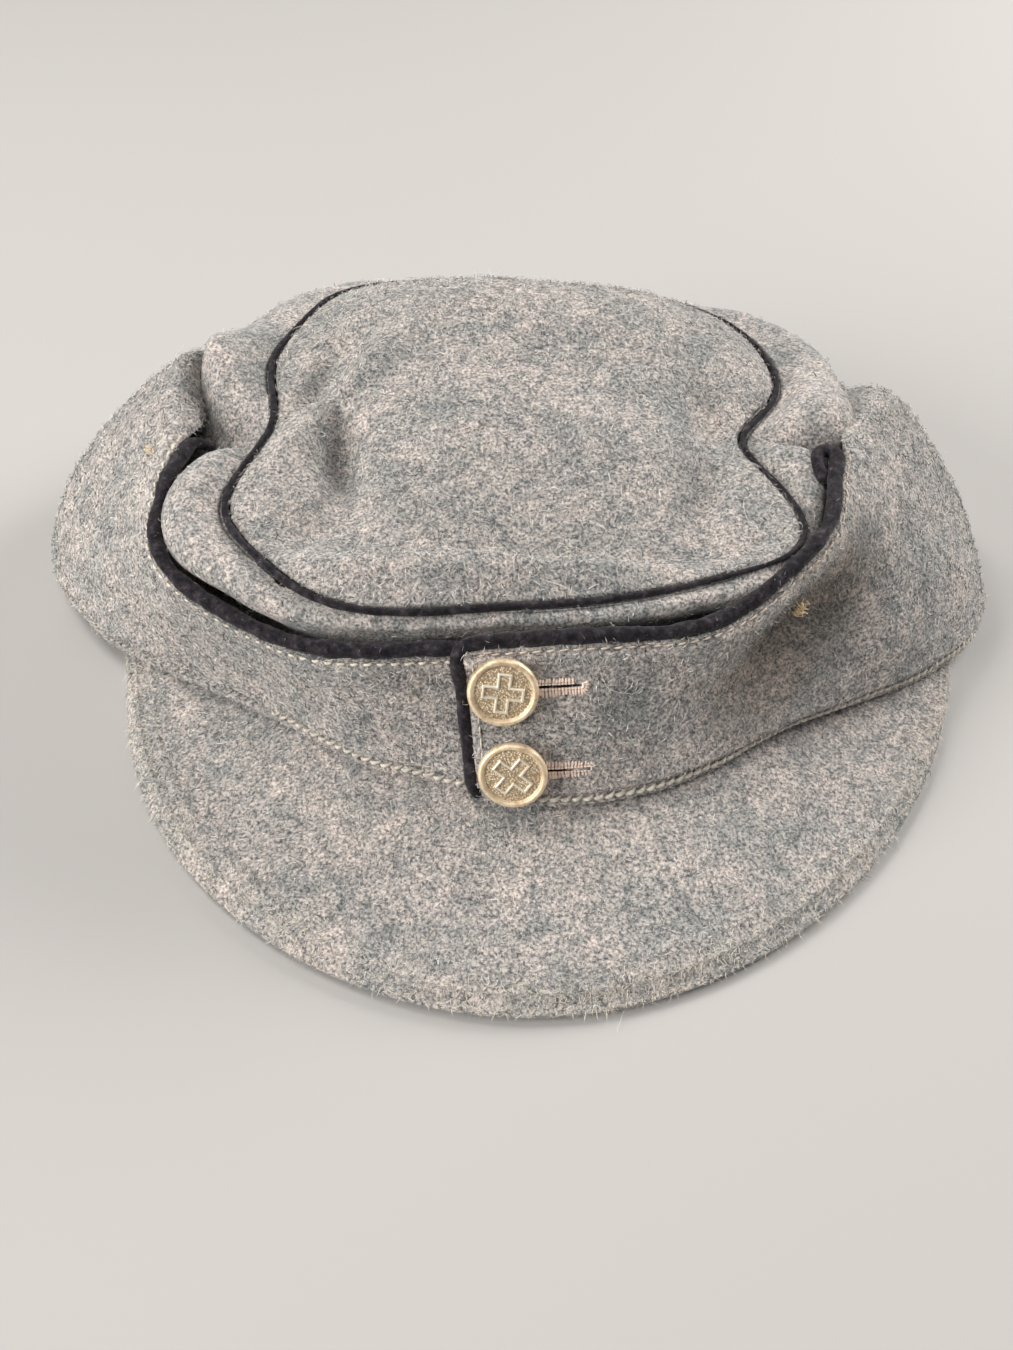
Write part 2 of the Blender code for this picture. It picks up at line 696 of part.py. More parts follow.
def make_cross(name, bottom, top, look, parent):
    """Equal-armed cross as a prism."""
    reach, arm = CROSS_SPAN / 2, CROSS_ARM / 2
    quarter = [(reach, -arm), (reach, arm), (arm, arm)]
    outline = []
    for turn in range(4):
        spin = Matrix.Rotation(turn * math.pi / 2, 2)
        outline.extend(spin @ Vector(corner) for corner in quarter)
    count = len(outline)
    points = [(corner[0], corner[1], height) for height in (bottom, top) for corner in outline]
    faces = [tuple(range(count - 1, -1, -1)), tuple(range(count, 2 * count))]
    for i in range(count):
        following = (i + 1) % count
        faces.append((i, following, count + following, count + i))
    cross = mesh_object(name, points, faces, look, parent)
    cross.hide_render = True
    cross.display_type = "WIRE"
    return cross


def make_button(button, look, parent):
    """Shank button standing on the face of the turn-up, its shank through the eyelet."""
    radius, shank = BUTTON_DIAMETER / 2, SHANK_DIAMETER / 2
    back = SHANK_STANDOFF
    front = back + BUTTON_THICKNESS
    ground = front - CROSS_RELIEF
    profile = [
        (0.0, -BAND_THICKNESS), (shank, -BAND_THICKNESS), (shank, back), (radius * 0.8, back),
        (radius, between(back, front, 0.4)), (radius, between(back, front, 0.75)),
        (radius - BUTTON_RIM * 0.35, front), (radius - BUTTON_RIM * 0.8, front),
        (radius - BUTTON_RIM, ground), (0.0, ground),
    ]
    made = make_turned(button.name, profile, look, parent)
    cross = make_cross("cross_" + button.name, between(back, ground, 0.6), front - 0.2 * CROSS_RELIEF, look, parent)
    cross.rotation_euler = (0.0, 0.0, math.radians(button.turn))
    cross.parent = made
    joined = made.modifiers.new("cross", "BOOLEAN")
    joined.operation = "UNION"
    joined.solver = "EXACT"
    joined.object = cross
    normal = Vector(band_normal(button.angle, button.place))
    rise = Vector(band_point(button.angle, button.place + 0.1) - band_point(button.angle, button.place - 0.1))
    along = rise.cross(normal).normalized()
    rise = normal.cross(along)
    place = Matrix((along, rise, normal)).transposed().to_4x4()
    place.translation = Vector(band_point(button.angle, button.place))
    made.matrix_local = place
    return made


def make_peak(look, parent):
    """Cloth-covered peak with a rounded rim, arched over its root."""
    shares = (0.0, 0.18, 0.36, 0.54, 0.72, 0.86, 0.95, 1.0)
    upper, lower = [], []
    for j in range(PEAK_STEPS + 1):
        angle = between(-PEAK_SPREAD, PEAK_SPREAD, j / PEAK_STEPS)
        root, rim = peak_reach(angle)
        top_row, low_row = [], []
        for share in shares:
            rounding = 0.5 * PEAK_THICKNESS * ease((share - 0.9) / 0.1) * 0.75
            reach = between(root, rim, share)
            low = peak_height(angle, share)
            top_row.append(in_direction(angle, reach, low + PEAK_THICKNESS - rounding))
            low_row.append(in_direction(angle, reach, low + rounding))
        upper.append(top_row)
        lower.append(low_row)
    return cloth_solid("peak", np.array(upper), np.array(lower), False, look, parent)


def settle(parent):
    """Move the cap so that the middle of its box's underside is at the origin."""
    bpy.context.view_layer.update()
    graph = bpy.context.evaluated_depsgraph_get()
    corners = []
    for made in parent.children:
        if made.hide_render:
            continue
        shape = made.evaluated_get(graph)
        mesh = shape.to_mesh()
        corners.extend(made.matrix_world @ vertex.co for vertex in mesh.vertices)
        shape.to_mesh_clear()
    points = np.array(corners)
    low, high = points.min(axis=0), points.max(axis=0)
    parent.location = (-(low[0] + high[0]) / 2, -(low[1] + high[1]) / 2, -low[2])


def main():
    for old in list(bpy.data.objects):
        bpy.data.objects.remove(old)
    cap = bpy.data.objects.new("field_cap", None)
    bpy.context.scene.collection.objects.link(cap)
    wool = material("wool", WOOL, 0.95)
    piping = material("piping_felt", PIPING, 0.95)
    metal = material("button_metal", METAL, 0.38, 1.0)
    make_crown_wall(wool, cap)
    make_top_panel(wool, cap)
    make_top_piping(piping, cap)
    make_turn_up(wool, cap)
    make_pipings(piping, cap)
    make_peak(wool, cap)
    for button in BUTTONS:
        make_button(button, metal, cap)
    settle(cap)


main()
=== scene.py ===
"""Looks of the worn wool field cap: fine cloth, nap, stitches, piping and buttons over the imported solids.

The cloth forms are worked out as the solids are, from the same sizes and tables, on finer grids.
Lengths are in metres, and directions are angles in degrees from the front, positive towards +X.
A place on the turn-up or the wall counts rings upward from the foot, which is 0.
"""
import math
from collections import namedtuple

import bpy
import numpy as np
from mathutils import Matrix, Vector

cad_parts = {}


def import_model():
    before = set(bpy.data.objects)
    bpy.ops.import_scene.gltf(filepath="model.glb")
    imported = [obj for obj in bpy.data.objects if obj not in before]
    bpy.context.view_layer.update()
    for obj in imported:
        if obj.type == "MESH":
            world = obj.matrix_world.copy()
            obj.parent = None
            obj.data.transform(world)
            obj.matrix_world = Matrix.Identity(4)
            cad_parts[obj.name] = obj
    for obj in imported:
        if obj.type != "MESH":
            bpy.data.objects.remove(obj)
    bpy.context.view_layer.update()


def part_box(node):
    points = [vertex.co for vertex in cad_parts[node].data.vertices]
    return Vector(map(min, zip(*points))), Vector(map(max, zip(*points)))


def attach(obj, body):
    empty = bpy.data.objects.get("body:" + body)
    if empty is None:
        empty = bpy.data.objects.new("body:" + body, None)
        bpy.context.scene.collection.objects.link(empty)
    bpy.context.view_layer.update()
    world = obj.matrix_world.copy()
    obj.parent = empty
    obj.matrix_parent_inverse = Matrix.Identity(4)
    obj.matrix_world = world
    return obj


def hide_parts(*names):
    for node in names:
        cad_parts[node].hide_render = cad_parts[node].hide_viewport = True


# Sizes of the cap, as in the solids' source.
FOOT_WIDTH = 0.250
FOOT_FRONT = 0.0915
FOOT_BACK = 0.094
TOP_WIDTH = 0.136
TOP_FRONT = 0.066
TOP_BACK = 0.060
CROWN_HEIGHT = 0.072
TURN_UP_HEIGHT = 0.058
PEAK_FRONT = 0.134
PEAK_WIDTH = 0.228
PEAK_RISE = 0.0115
PEAK_THICKNESS = 0.0045
PEAK_TUCK = 0.0035
PEAK_SPREAD = 77.0
PEAK_END_RUN = 9.0
PEAK_END_DEPTH = 0.006
CLOTH_THICKNESS = 0.0022
BAND_THICKNESS = 0.0026
TOP_PIPING_DIAMETER = 0.0022
FLAP_PIPING_DIAMETER = 0.0036
GAP = 0.0003
LAP_GAP = 0.0006
PEAK_GAP = 0.00045
BUTTON_DIAMETER = 0.015
BUTTON_THICKNESS = 0.0026
SHANK_STANDOFF = 0.0012
SHANK_RADIUS = 0.0012
CROSS_SPAN = 0.0088
CROSS_ARM = 0.0029
BUTTONHOLE_LENGTH = 0.017

# Ends of the turn-up, the drop and length of the lap, and where its edge leaves the crest for the wall.
RIGHT_END_FOOT = -5.0
RIGHT_END_EDGE = -10.0
LEFT_END = 372.0
LAP_DROP_RINGS = 0.35
LAP_LENGTH = 38.0
LAP_RUN = 16.0
SLIT_START_RIGHT = 73.0
SLIT_START_LEFT = 69.0
SLIT_RUN = 26.0

# Squareness of the ovals in front, at the side and behind, and how the peak's underside curves.
FOOT_SQUARENESS = (1.65, 2.0, 2.3)
TOP_SQUARENESS = (2.8, 2.5, 2.2)
PEAK_SQUARENESS = 1.95
PEAK_CURVE_ROUND = 1.6
PEAK_CURVE_OUT = 1.15

# Rings: share of the reach and share of the height, each in front, at the side and behind.
Row = namedtuple("Row", "reach up")
WALL_ROWS = {
    "contact": Row((-0.03, 0.13, 0.26), (0.50, 0.61, 0.47)),
    "puff": Row((0.10, 0.11, 0.20), (0.675, 0.71, 0.65)),
    "seam": Row((0.00, 0.00, 0.00), (0.73, 0.77, 0.74)),
}
WALL_LOW_SHARE = 0.42
CREST = Row((-0.04, 0.20, 0.20), (0.865, 1.00, 0.76))
BAND_ROWS = {
    "hem": Row((0.97, 0.985, 0.985), (0.13, 0.10, 0.14)),
    "belly": Row((0.64, 0.78, 0.86), (0.45, 0.42, 0.48)),
    "chest": Row((0.26, 0.36, 0.50), (0.78, 0.78, 0.80)),
}

# Rings between the crest and the wall, the same all round: share of the reach and of the drop.
VALLEY_ROWS = ((0.68, 0.05), (0.30, 0.42))
CREST_PLACE = 1.0 + len(BAND_ROWS)
BAND_END_PLACE = CREST_PLACE + len(VALLEY_ROWS) + 1.0
WALL_END_PLACE = 4.0

Fold = namedtuple("Fold", "name rings angle spread out up")
FOLDS = (
    Fold("waist right", "seam", 77, 17, -0.24, 0.00),
    Fold("waist left", "seam", -82, 20, -0.11, 0.01),
    Fold("front left bulge", "seam", -33, 20, 0.11, 0.00),
    Fold("front right flat", "seam", 26, 20, -0.035, 0.00),
    Fold("front corner left", "seam", -60, 12, 0.10, 0.00),
    Fold("front corner right", "seam", 55, 12, 0.085, 0.00),
    Fold("back corner left", "seam", -116, 14, -0.06, 0.00),
    Fold("back corner right", "seam", 108, 20, -0.05, 0.00),
    Fold("left back rise", "seam puff", -125, 30, 0.00, 0.06),
    Fold("left roll", "puff", -60, 18, 0.08, 0.00),
    Fold("right roll", "puff", 36, 20, 0.02, 0.00),
    Fold("left bulge", "contact", -58, 16, 0.03, 0.00),
    Fold("left valley", "contact", -95, 22, 0.10, 0.05),
    Fold("right back puff", "puff", 116, 18, 0.05, 0.02),
    Fold("right corner drawn in", "puff crest", 52, 12, -0.028, 0.00),
    Fold("right flap near", "crest", 36, 20, -0.02, 0.00),
    Fold("right flap sag", "crest", 31, 15, 0.00, -0.068),
    Fold("left flap sag", "crest", -46, 26, 0.00, -0.135),
    Fold("left flap stands off", "crest", -60, 22, 0.02, 0.00),
    Fold("right shoulder", "crest", 98, 14, 0.02, 0.00),
    Fold("left side spread", "foot hem belly", -94, 20, 0.02, 0.00),
    Fold("right back slump", "crest", 124, 24, 0.00, -0.19),
    Fold("left back slump", "crest", -132, 26, 0.00, -0.135),
    Fold("left crest hump", "crest", -103, 10, 0.00, 0.03),
    Fold("left notch", "crest", -116, 8, 0.00, -0.075),
    Fold("right corner", "crest", 97, 6, 0.02, 0.03),
    Fold("right notch", "crest", 110, 11, 0.00, -0.065),
    Fold("flap hollow right", "foot", 50, 22, -0.135, 0.00),
    Fold("flap hollow left", "foot", -52, 30, -0.15, 0.00),
    Fold("peak left side", "rim", -74, 24, -0.085, 0.00),
)

# Top panel: share of the height in its middle, and powers of its curve and of the fading at its rim.
TOP_MIDDLE_SHARE = 0.90
TOP_CURVE = 3
DENT_FADE = 12
FORM_FADE = 16

# Dents of the top panel, in shares of its half width, its front reach and the crown's height.
Dent = namedtuple("Dent", "name x y spread_x spread_front spread_back lift")
DENTS = (
    Dent("valley behind the front roll", 0.00, -0.75, 0.80, 0.09, 0.42, -0.150),
    Dent("rise at the back", -0.05, 0.45, 0.70, 0.30, 0.30, 0.10),
    Dent("left hollow", -0.60, -0.33, 0.16, 0.20, 0.20, -0.05),
)

# Rolls and creases of the top panel: middle, length and width in metres, turn from +X, and height.
TopForm = namedtuple("TopForm", "name x y long wide turn lift")
TOP_FORMS = (
    TopForm("front roll", -0.003, -0.0570, 0.046, 0.0045, 4.0, 0.0032),
    TopForm("left crease", -0.0440, -0.0180, 0.017, 0.0044, 97.0, -0.0066),
    TopForm("left dimple", -0.0480, -0.0440, 0.008, 0.0050, 40.0, -0.0036),
    TopForm("left ridge low", -0.0545, -0.0200, 0.012, 0.0045, 60.0, 0.0030),
    TopForm("left ridge high", -0.0400, 0.0030, 0.018, 0.0050, 46.0, 0.0034),
    TopForm("left hollow", -0.0505, 0.0020, 0.013, 0.0042, 60.0, -0.0052),
    TopForm("right dimple low", 0.0405, -0.0290, 0.011, 0.0048, 80.0, -0.0052),
    TopForm("right dimple high", 0.0430, -0.0030, 0.012, 0.0050, 95.0, -0.0034),
    TopForm("right crease", 0.0550, -0.0130, 0.010, 0.0026, 40.0, -0.0016),
    TopForm("back swell", -0.0100, 0.0250, 0.040, 0.0120, 8.0, 0.0010),
)

# Creases of the turn-up and puffs of the wall: where, spreads in degrees and rings, slant, depth in metres.
Crease = namedtuple("Crease", "angle place wide tall slant depth")
BAND_CREASES = (
    Crease(46, 2.45, 17, 0.65, 0.02, -0.0076),
    Crease(44, 1.10, 24, 0.40, 0.0, 0.0018),
    Crease(14, 2.6, 8, 0.45, 0.03, -0.0006),
    Crease(-30, 2.2, 16, 0.4, 0.02, -0.0007),
    Crease(-62, 1.5, 9, 0.7, -0.03, -0.0010),
    Crease(-84, 2.4, 5, 1.1, -0.05, -0.0014),
    Crease(110, 2.6, 14, 0.6, 0.02, -0.0014),
    Crease(150, 1.8, 22, 0.5, -0.01, -0.0010),
    Crease(-150, 2.3, 18, 0.5, 0.02, -0.0012),
)
WALL_PUFFS = (
    Crease(0, 3.40, 75, 0.45, 0.0, 0.0013),
    Crease(-42, 3.0, 14, 0.60, 0.0, 0.0032),
    Crease(-66, 2.9, 13, 0.75, 0.0, 0.0072),
    Crease(-80, 3.1, 5, 1.00, 0.0, -0.0060),
    Crease(-100, 2.8, 11, 0.85, 0.0, 0.0115),
    Crease(-122, 2.5, 14, 0.60, 0.0, 0.0080),
    Crease(-142, 2.6, 14, 0.70, 0.0, 0.0045),
    Crease(48, 2.0, 17, 0.60, 0.0, -0.0042),
    Crease(50, 3.0, 14, 0.60, 0.0, 0.0018),
    Crease(70, 2.75, 9, 0.80, 0.0, 0.0112),
    Crease(79, 3.0, 4, 0.90, 0.0, -0.0045),
    Crease(90, 2.8, 12, 0.90, 0.0, 0.0135),
    Crease(110, 2.5, 14, 0.60, 0.0, 0.0080),
    Crease(131, 2.6, 16, 0.70, 0.0, 0.0045),
)

# Unevenness of the cloths: height, size and seed of each set of waves. The piping's heights are shares.
WAVES = {
    "band": ((0.0005, 0.022, 3), (0.00022, 0.008, 5), (0.00010, 0.0035, 6)),
    "wall": ((0.0006, 0.016, 11), (0.0002, 0.006, 12)),
    "top": ((0.0007, 0.020, 21), (0.0002, 0.007, 22)),
    "peak": ((0.0004, 0.020, 31), (0.00015, 0.007, 32)),
    "piping": ((0.09, 0.0045, 41), (0.05, 0.0016, 42)),
}
WAVE_COUNT = 14
WAVE_SIZES = (0.6, 1.4)
WAVE_PEAK = 1.6

# Fineness of the cloth grids.
BAND_ANGLES = np.linspace(RIGHT_END_EDGE, LEFT_END, 411)
BAND_SHARES = np.linspace(0.0, 1.0, 57)
ROUND_ANGLES = np.linspace(0.0, 360.0, 260, endpoint=False)
WALL_PLACES = np.linspace(0.0, WALL_END_PLACE, 49)
TOP_SHARES = np.linspace(1.0, 0.02, 60)
PEAK_ANGLES = np.linspace(-PEAK_SPREAD, PEAK_SPREAD, 241)
PEAK_SHARES = np.concatenate((np.linspace(0.0, 0.86, 44), np.linspace(0.88, 1.0, 12)))
SEAM_ANGLES = np.linspace(0.0, 360.0, 900, endpoint=False)

# Edges of the cloths: the lift of the turn-up's outer foot, and the rounding of edges and of the peak's rim.
FOOT_LIFT = 0.0008
EDGE_TURNS = np.radians((0, 36, 72, 108, 144, 180))
EDGE_ROUNDNESS = 0.8
RIM_ROUNDING = 0.375
RIM_ROUNDING_SHARE = 0.1

# Distances of the seams from their edges, and the rolls and grooves there: height, distance and width.
HEM_SEAM = 0.0028
EDGE_SEAM = 0.0013
PEAK_SEAMS = (0.0042, 0.0082)
HEM_GROOVES = ((0.0005, 0.0052, 0.0012), (-0.0007, HEM_SEAM + 0.0009, 0.0005))
EDGE_GROOVES = ((-0.0004, EDGE_SEAM, 0.0005), (0.0003, 0.0032, 0.0013))
PEAK_GROOVES = tuple((-0.0003, distance, 0.0006) for distance in PEAK_SEAMS)

# Stitches: pitch, climb of each, share of the pitch left free at each end. Rows: angles, thread radius, look.
Stitch = namedtuple("Stitch", "pitch rise space")
HEM_STITCH = Stitch(0.0024, 0.0011, -0.10)
EDGE_STITCH = Stitch(0.0028, 0.0003, 0.08)
END_STITCH = Stitch(0.0028, 0.0, 0.06)
PEAK_STITCH = Stitch(0.0030, 0.0, 0.06)
END_THREAD = 0.00022
PEAK_THREAD = 0.00014
Seam = namedtuple("Seam", "name first last radius look")
HEM_ROWS = (
    Seam("hem_right", RIGHT_END_EDGE + 1.5, 74.0, 0.00050, "seam_thread"),
    Seam("hem_round", 74.5, 316.0, 0.00036, "round_thread"),
    Seam("hem_left", 316.5, LEFT_END, 0.00046, "seam_thread"),
)
EDGE_ROWS = (
    Seam("edge_right", RIGHT_END_EDGE + 1.5, 77.0, 0.00026, "edge_thread"),
    Seam("edge_left", 279.0, 352.0, 0.00034, "left_edge_thread"),
)
STITCH_ROWS = 6
STITCH_SIDES = 6
THREAD_ARCH = 0.7
THREAD_TIP_SHARE = 0.72

# Rolled hem: distance from the foot, depth, radius, step, sides, and distances between its pinches.
HEM_ROLL_PLACE = 0.0011
HEM_ROLL_SUNK = 0.00022
HEM_ROLL_RADIUS = 0.00074
HEM_ROLL_STEP = 0.00042
HEM_ROLL_SIDES = 12
HEM_PINCHES = (0.0019, 0.0028)
HEM_PINCH_COUNT = 400
HEM_PUFFS = (0.70, 1.04)
HEM_FLATNESS = 0.35

# Top piping: shares of it that show, where it sinks in, and the step of the cloths beside it.
TOP_PIPING_SHOWN = (0.80, 0.64, 0.60)
SUNK_ANGLE = 40.0
SUNK_SPREAD = 28.0
SUNK_SHARE = 0.34
SEAM_DROP = 0.8
SEAM_LIFT = 0.1

# Thick pipings: share that shows, bite into the cloth's edge, thinner front end, and the left one's taper.
FLAP_PIPING_SHOWN = 0.95
FLAP_PIPING_BITE = 0.0004
END_PIPING_SHARE = 0.92
END_PIPING_BITE = 0.0003
TAPER_SHARE = 0.72
TAPER_LENGTH = 0.012
PIPING_STEP = 0.0007
CURL_STEP = 0.0004
CORD_SIDES = 14

# Curled ends of the thick pipings behind the slits: metres onward, inward and up from the edge's end.
CURLS = {
    "right": ((1.1e-3, 0.6e-3, 0.3e-3), (2.0e-3, 3.0e-3, 0.8e-3), (0.4e-3, 5.6e-3, 0.8e-3),
              (-3.0e-3, 5.6e-3, 0.2e-3), (-6.2e-3, 4.0e-3, -0.4e-3), (-8.8e-3, 1.6e-3, -1.0e-3)),
    "left": ((1.5e-3, 1.2e-3, -0.4e-3), (2.1e-3, 3.2e-3, -1.6e-3), (1.8e-3, 4.8e-3, -3.6e-3)),
}

# Buttons: place, turn, reach of the buttonhole's two rows of stitches, and turns of those at its end.
Button = namedtuple("Button", "name angle place turn upper_end lower_end fan_start fan_end")
BUTTONS = (
    Button("button_upper", -3.5, 2.97, -4, 0.0152, 0.0164, -80.0, 40.0),
    Button("button_lower", -1.4, 1.46, -35, 0.0164, 0.0162, -80.0, 85.0),
)

# Button's face: the domed rim, then points of the lip and the ground as insets from the rim and depths.
RIM_WIDTH = 0.0008
RIM_HEIGHT = 0.0011
RIM_TURNS = np.radians((-60, -35, -10, 15, 40, 62, 80))
LIP = ((0.00095, 0.00002), (0.00118, 0.00014), (0.00136, 0.00045), (0.00150, 0.00081))
GROUND = ((0.0018, 0.00075), (0.00375, 0.00067), (0.0060, 0.00065), (0.00748, 0.00065))
BUTTON_SIDES = 72

# Layers of the raised cross: inset from its outline and height above the button's front.
CROSS_LAYERS = ((-0.00010, -0.00095), (-0.00004, -0.00029), (0.00012, -0.00013), (0.00040, -0.00013),
                (0.00056, -0.00053))
CROSS_EDGE = 0.00005

# Buttonhole stitches: start, pitch, reach beside the slit, unevenness, lean, and the fan's two ovals.
HOLE_START = 0.0055
HOLE_PITCH = 0.00070
HOLE_NEAR = 0.00042
HOLE_FAR = 0.0021
HOLE_UNEVEN = {"along": 0.00008, "far": 0.0003, "lean": 0.0002}
HOLE_LEAN = 0.00015
FAN_STEP = 21.0
FAN_NEAR = (0.0004, 0.0005)
FAN_FAR = (0.0021, 0.0022)

# Buttonhole threads: radius, lift and sink, purl's reach, lifts of stitches and slit, and slit half widths.
HOLE_THREAD = (0.00030, 0.00038, 0.0002)
PURL_THREAD = (0.00036, 0.00046, 0.0)
PURL_REACH = (-0.1, 0.2)
HOLE_LIFTS = (0.0001, 0.00005)
SLIT_LIFTS = (0.00030, 0.00022)
SLIT_WIDTHS = (0.00046, 0.00024)
SLIT_ROWS = 40

# Darkened hollow of the right flap, partly painted shade of the hollow and partly a brownish tint of dirt:
# places of its two ends, half length, depth and width, and its tint.
SHADE_AND_SOIL_ENDS = ((60.0, 2.9), (36.0, 1.9))
SHADE_AND_SOIL_REACH = (0.042, 0.034, 0.019)
SHADE_AND_SOIL_TINT = (0.56, 0.52, 0.48)

# Materials: dark and light colour of each thread, tones of the metals, and even colours of the fibres.
THREADS = {
    "seam_thread": ((0.44, 0.40, 0.34), (0.80, 0.74, 0.63)),
    "edge_thread": ((0.52, 0.42, 0.34), (0.82, 0.70, 0.57)),
    "left_edge_thread": ((0.62, 0.54, 0.42), (0.96, 0.87, 0.72)),
    "round_thread": ((0.26, 0.25, 0.23), (0.50, 0.48, 0.43)),
    "peak_thread": ((0.22, 0.21, 0.19), (0.44, 0.41, 0.36)),
    "buttonhole_thread": ((0.90, 0.68, 0.56), (1.0, 0.85, 0.74)),
}
METALS = {
    "button_metal_worn": (0.5, (0.52, 0.40, 0.25), (0.88, 0.70, 0.48), (1.0, 0.87, 0.64)),
    "button_metal_rubbed": (0.36, (0.92, 0.82, 0.64), (1.0, 0.93, 0.78), (1.0, 0.97, 0.86)),
}
# The last column tells which fibre looks take the right flap's darkened hollow, partly painted shade and
# partly dirt.
Plain = namedtuple("Plain", "name colour roughness sheen soiled")
PLAIN_LOOKS = (
    Plain("fibre_white", (0.88, 0.85, 0.79), 0.85, 0.2, True),
    Plain("fibre_grey", (0.46, 0.45, 0.43), 0.85, 0.2, True),
    Plain("fibre_slate", (0.13, 0.14, 0.15), 0.85, 0.2, False),
    Plain("fibre_dark", (0.035, 0.036, 0.042), 0.85, 0.2, False),
    Plain("fibre_cream", (0.78, 0.71, 0.60), 0.85, 0.2, False),
    Plain("piping_fibre_black", (0.012, 0.010, 0.013), 0.95, 0.05, False),
    Plain("piping_fibre_plum", (0.065, 0.054, 0.062), 0.95, 0.05, False),
    Plain("slit_shadow", (0.012, 0.012, 0.014), 0.95, 0.0, False),
    Plain("lint_orange", (1.0, 0.80, 0.50), 0.7, 1.0, False),
)

# Short fibres: kinds by length, width and lift. Mixes are shares of the fibre looks by name.
Kind = namedtuple("Kind", "length width lift")
NAP = Kind((0.0007, 0.0022), 0.00011, 0.00030)
HEM_NAP = Kind((0.0006, 0.0018), 0.00011, 0.00030)
FUZZ = Kind((0.0005, 0.0015), 0.00008, 0.00022)
CRISP = {"fibre_white": 0.38, "fibre_grey": 0.12, "fibre_slate": 0.18, "fibre_dark": 0.32}
SOFT = {"fibre_white": 0.30, "fibre_grey": 0.36, "fibre_slate": 0.22, "fibre_dark": 0.12}
CREAM = {"fibre_cream": 1.0}
HEM_MIX = {"fibre_white": 0.5, "fibre_cream": 0.3, "fibre_slate": 0.2}
PIPING_MIX = {"piping_fibre_black": 0.54, "piping_fibre_plum": 0.44, "fibre_grey": 0.02}
Nap = namedtuple("Nap", "name face count seed mix kind slot")
NAPS = (
    Nap("nap_turn_up_right", "right", 36000, 51, CRISP, NAP, "wool"),
    Nap("nap_turn_up_left", "left", 36000, 52, CRISP, NAP, "wool"),
    Nap("nap_top", "top", 32000, 53, SOFT, NAP, "wool"),
    Nap("nap_peak", "peak", 32000, 54, SOFT, NAP, "wool"),
    Nap("nap_wall", "wall", 12000, 55, CRISP, NAP, "wool"),
    Nap("nap_peak_rim", "peak_rim", 7000, 56, CREAM, NAP, "wool"),
    Nap("nap_hem", "hem", 4000, 57, HEM_MIX, HEM_NAP, "wool"),
    Nap("fuzz_piping_top", "piping_top", 5000, 61, PIPING_MIX, FUZZ, "piping_felt"),
    Nap("fuzz_piping_left", "piping_left", 3000, 62, PIPING_MIX, FUZZ, "piping_felt"),
    Nap("fuzz_piping_right", "piping_right", 3600, 63, PIPING_MIX, FUZZ, "piping_felt"),
)
FIBRE_CURL = 0.45
FIBRE_BEND = 2.2
FIBRE_TILT = 1.2
FIBRE_WIDTHS = (0.6, 1.3)
FIBRE_ROOT = 0.00005
FIBRE_LIFT_LIMIT = 4.0
FIBRE_FLOOR = 0.0001
RIM_NAP_BAND = (0.004, 0.006)

# Loose hairs and lint: lengths, radius, count and seed, and where the front roll's hairs and the lint lie.
Hair = namedtuple("Hair", "length radius")
HAIR = Hair((0.006, 0.016), 0.000030)
LINT = Hair((0.0008, 0.0018), 0.00015)
HAIR_BEND = 0.16
HAIR_WANDER = 0.22
HAIR_LIFT = 0.0004
HAIR_ARCH = (0.0003, 0.0016)
HAIR_FLOOR = 0.0003
HAIR_ROWS = 14
HAIR_SIDES = 4
ROLL_SPOT = (0.012, -0.056, 0.055)
ROLL_SPOT_REACH = 0.010
HAIR_SETS = (("hairs_top", "top", 46, 71), ("hairs_front_roll", "top", 12, 72),
             ("hairs_turn_up", "turn_up", 50, 73), ("hairs_peak", "peak", 26, 74))
LINT_SETS = (("lint_right", 50.0, 2.62, 44, 81), ("lint_left", -81.0, 3.55, 6, 82))
LINT_REACH = 0.0009
DEGREES_A_RING = 10.0

# Camera, fitted to the photograph: the point it looks at is counted from the middle of the cap.
CAMERA_LENS_PX = 1300.0
PHOTO_HEIGHT_PX = 1350.0
SENSOR_MM = 36.0
CAMERA_ELEVATION = 47.0
CAMERA_AZIMUTH = -1.0
CAMERA_ROLL = 2.0
CAMERA_DISTANCE = 0.287
CAMERA_TARGET = (-0.004, -0.067, 0.032)

# Studio: lamps by place, size, power and colour, the point they face, and the floor.
Lamp = namedtuple("Lamp", "name place size power colour")
LAMPS = (
    Lamp("key", (-0.55, 0.28, 0.95), 0.40, 4.9, (1.0, 0.96, 0.91)),
    Lamp("over", (0.12, -0.30, 1.05), 0.35, 1.9, (1.0, 0.96, 0.92)),
    Lamp("fill", (-1.25, -0.65, 0.62), 0.9, 23.0, (1.0, 0.97, 0.94)),
    Lamp("side", (1.00, 0.60, 0.60), 0.7, 17.0, (1.0, 0.97, 0.94)),
)
LAMP_TARGET = (0.0, 0.0, 0.03)
WORLD_COLOUR = (0.96, 0.97, 1.0, 1.0)
WORLD_STRENGTH = 0.19
FLOOR_REACH = 40.0
FLOOR_COLOUR = (0.50, 0.49, 0.475)


def between(start, end, share):
    """Value a share of the way from start to end."""
    return start + (end - start) * share


def ease(value):
    """Smooth step from 0 to 1."""
    value = np.clip(value, 0.0, 1.0)
    return value * value * (3.0 - 2.0 * value)


def bump(distance, width, middle=0.0):
    """Round bump of height 1."""
    return np.exp(-((distance - middle) / width) ** 2)


def unit(vectors):
    """Vectors made one long."""
    return vectors / np.linalg.norm(vectors, axis=-1, keepdims=True)


def by_direction(values, angle):
    """Value that turns smoothly from front to side to back."""
    front, side, back = values
    along = np.cos(np.radians(angle))
    return side + (np.where(along > 0.0, front, back) - side) * along ** 2


def turn_between(angle, other):
    """Signed angle from other to angle, from -180 to 180."""
    return (angle - other + 180.0) % 360.0 - 180.0


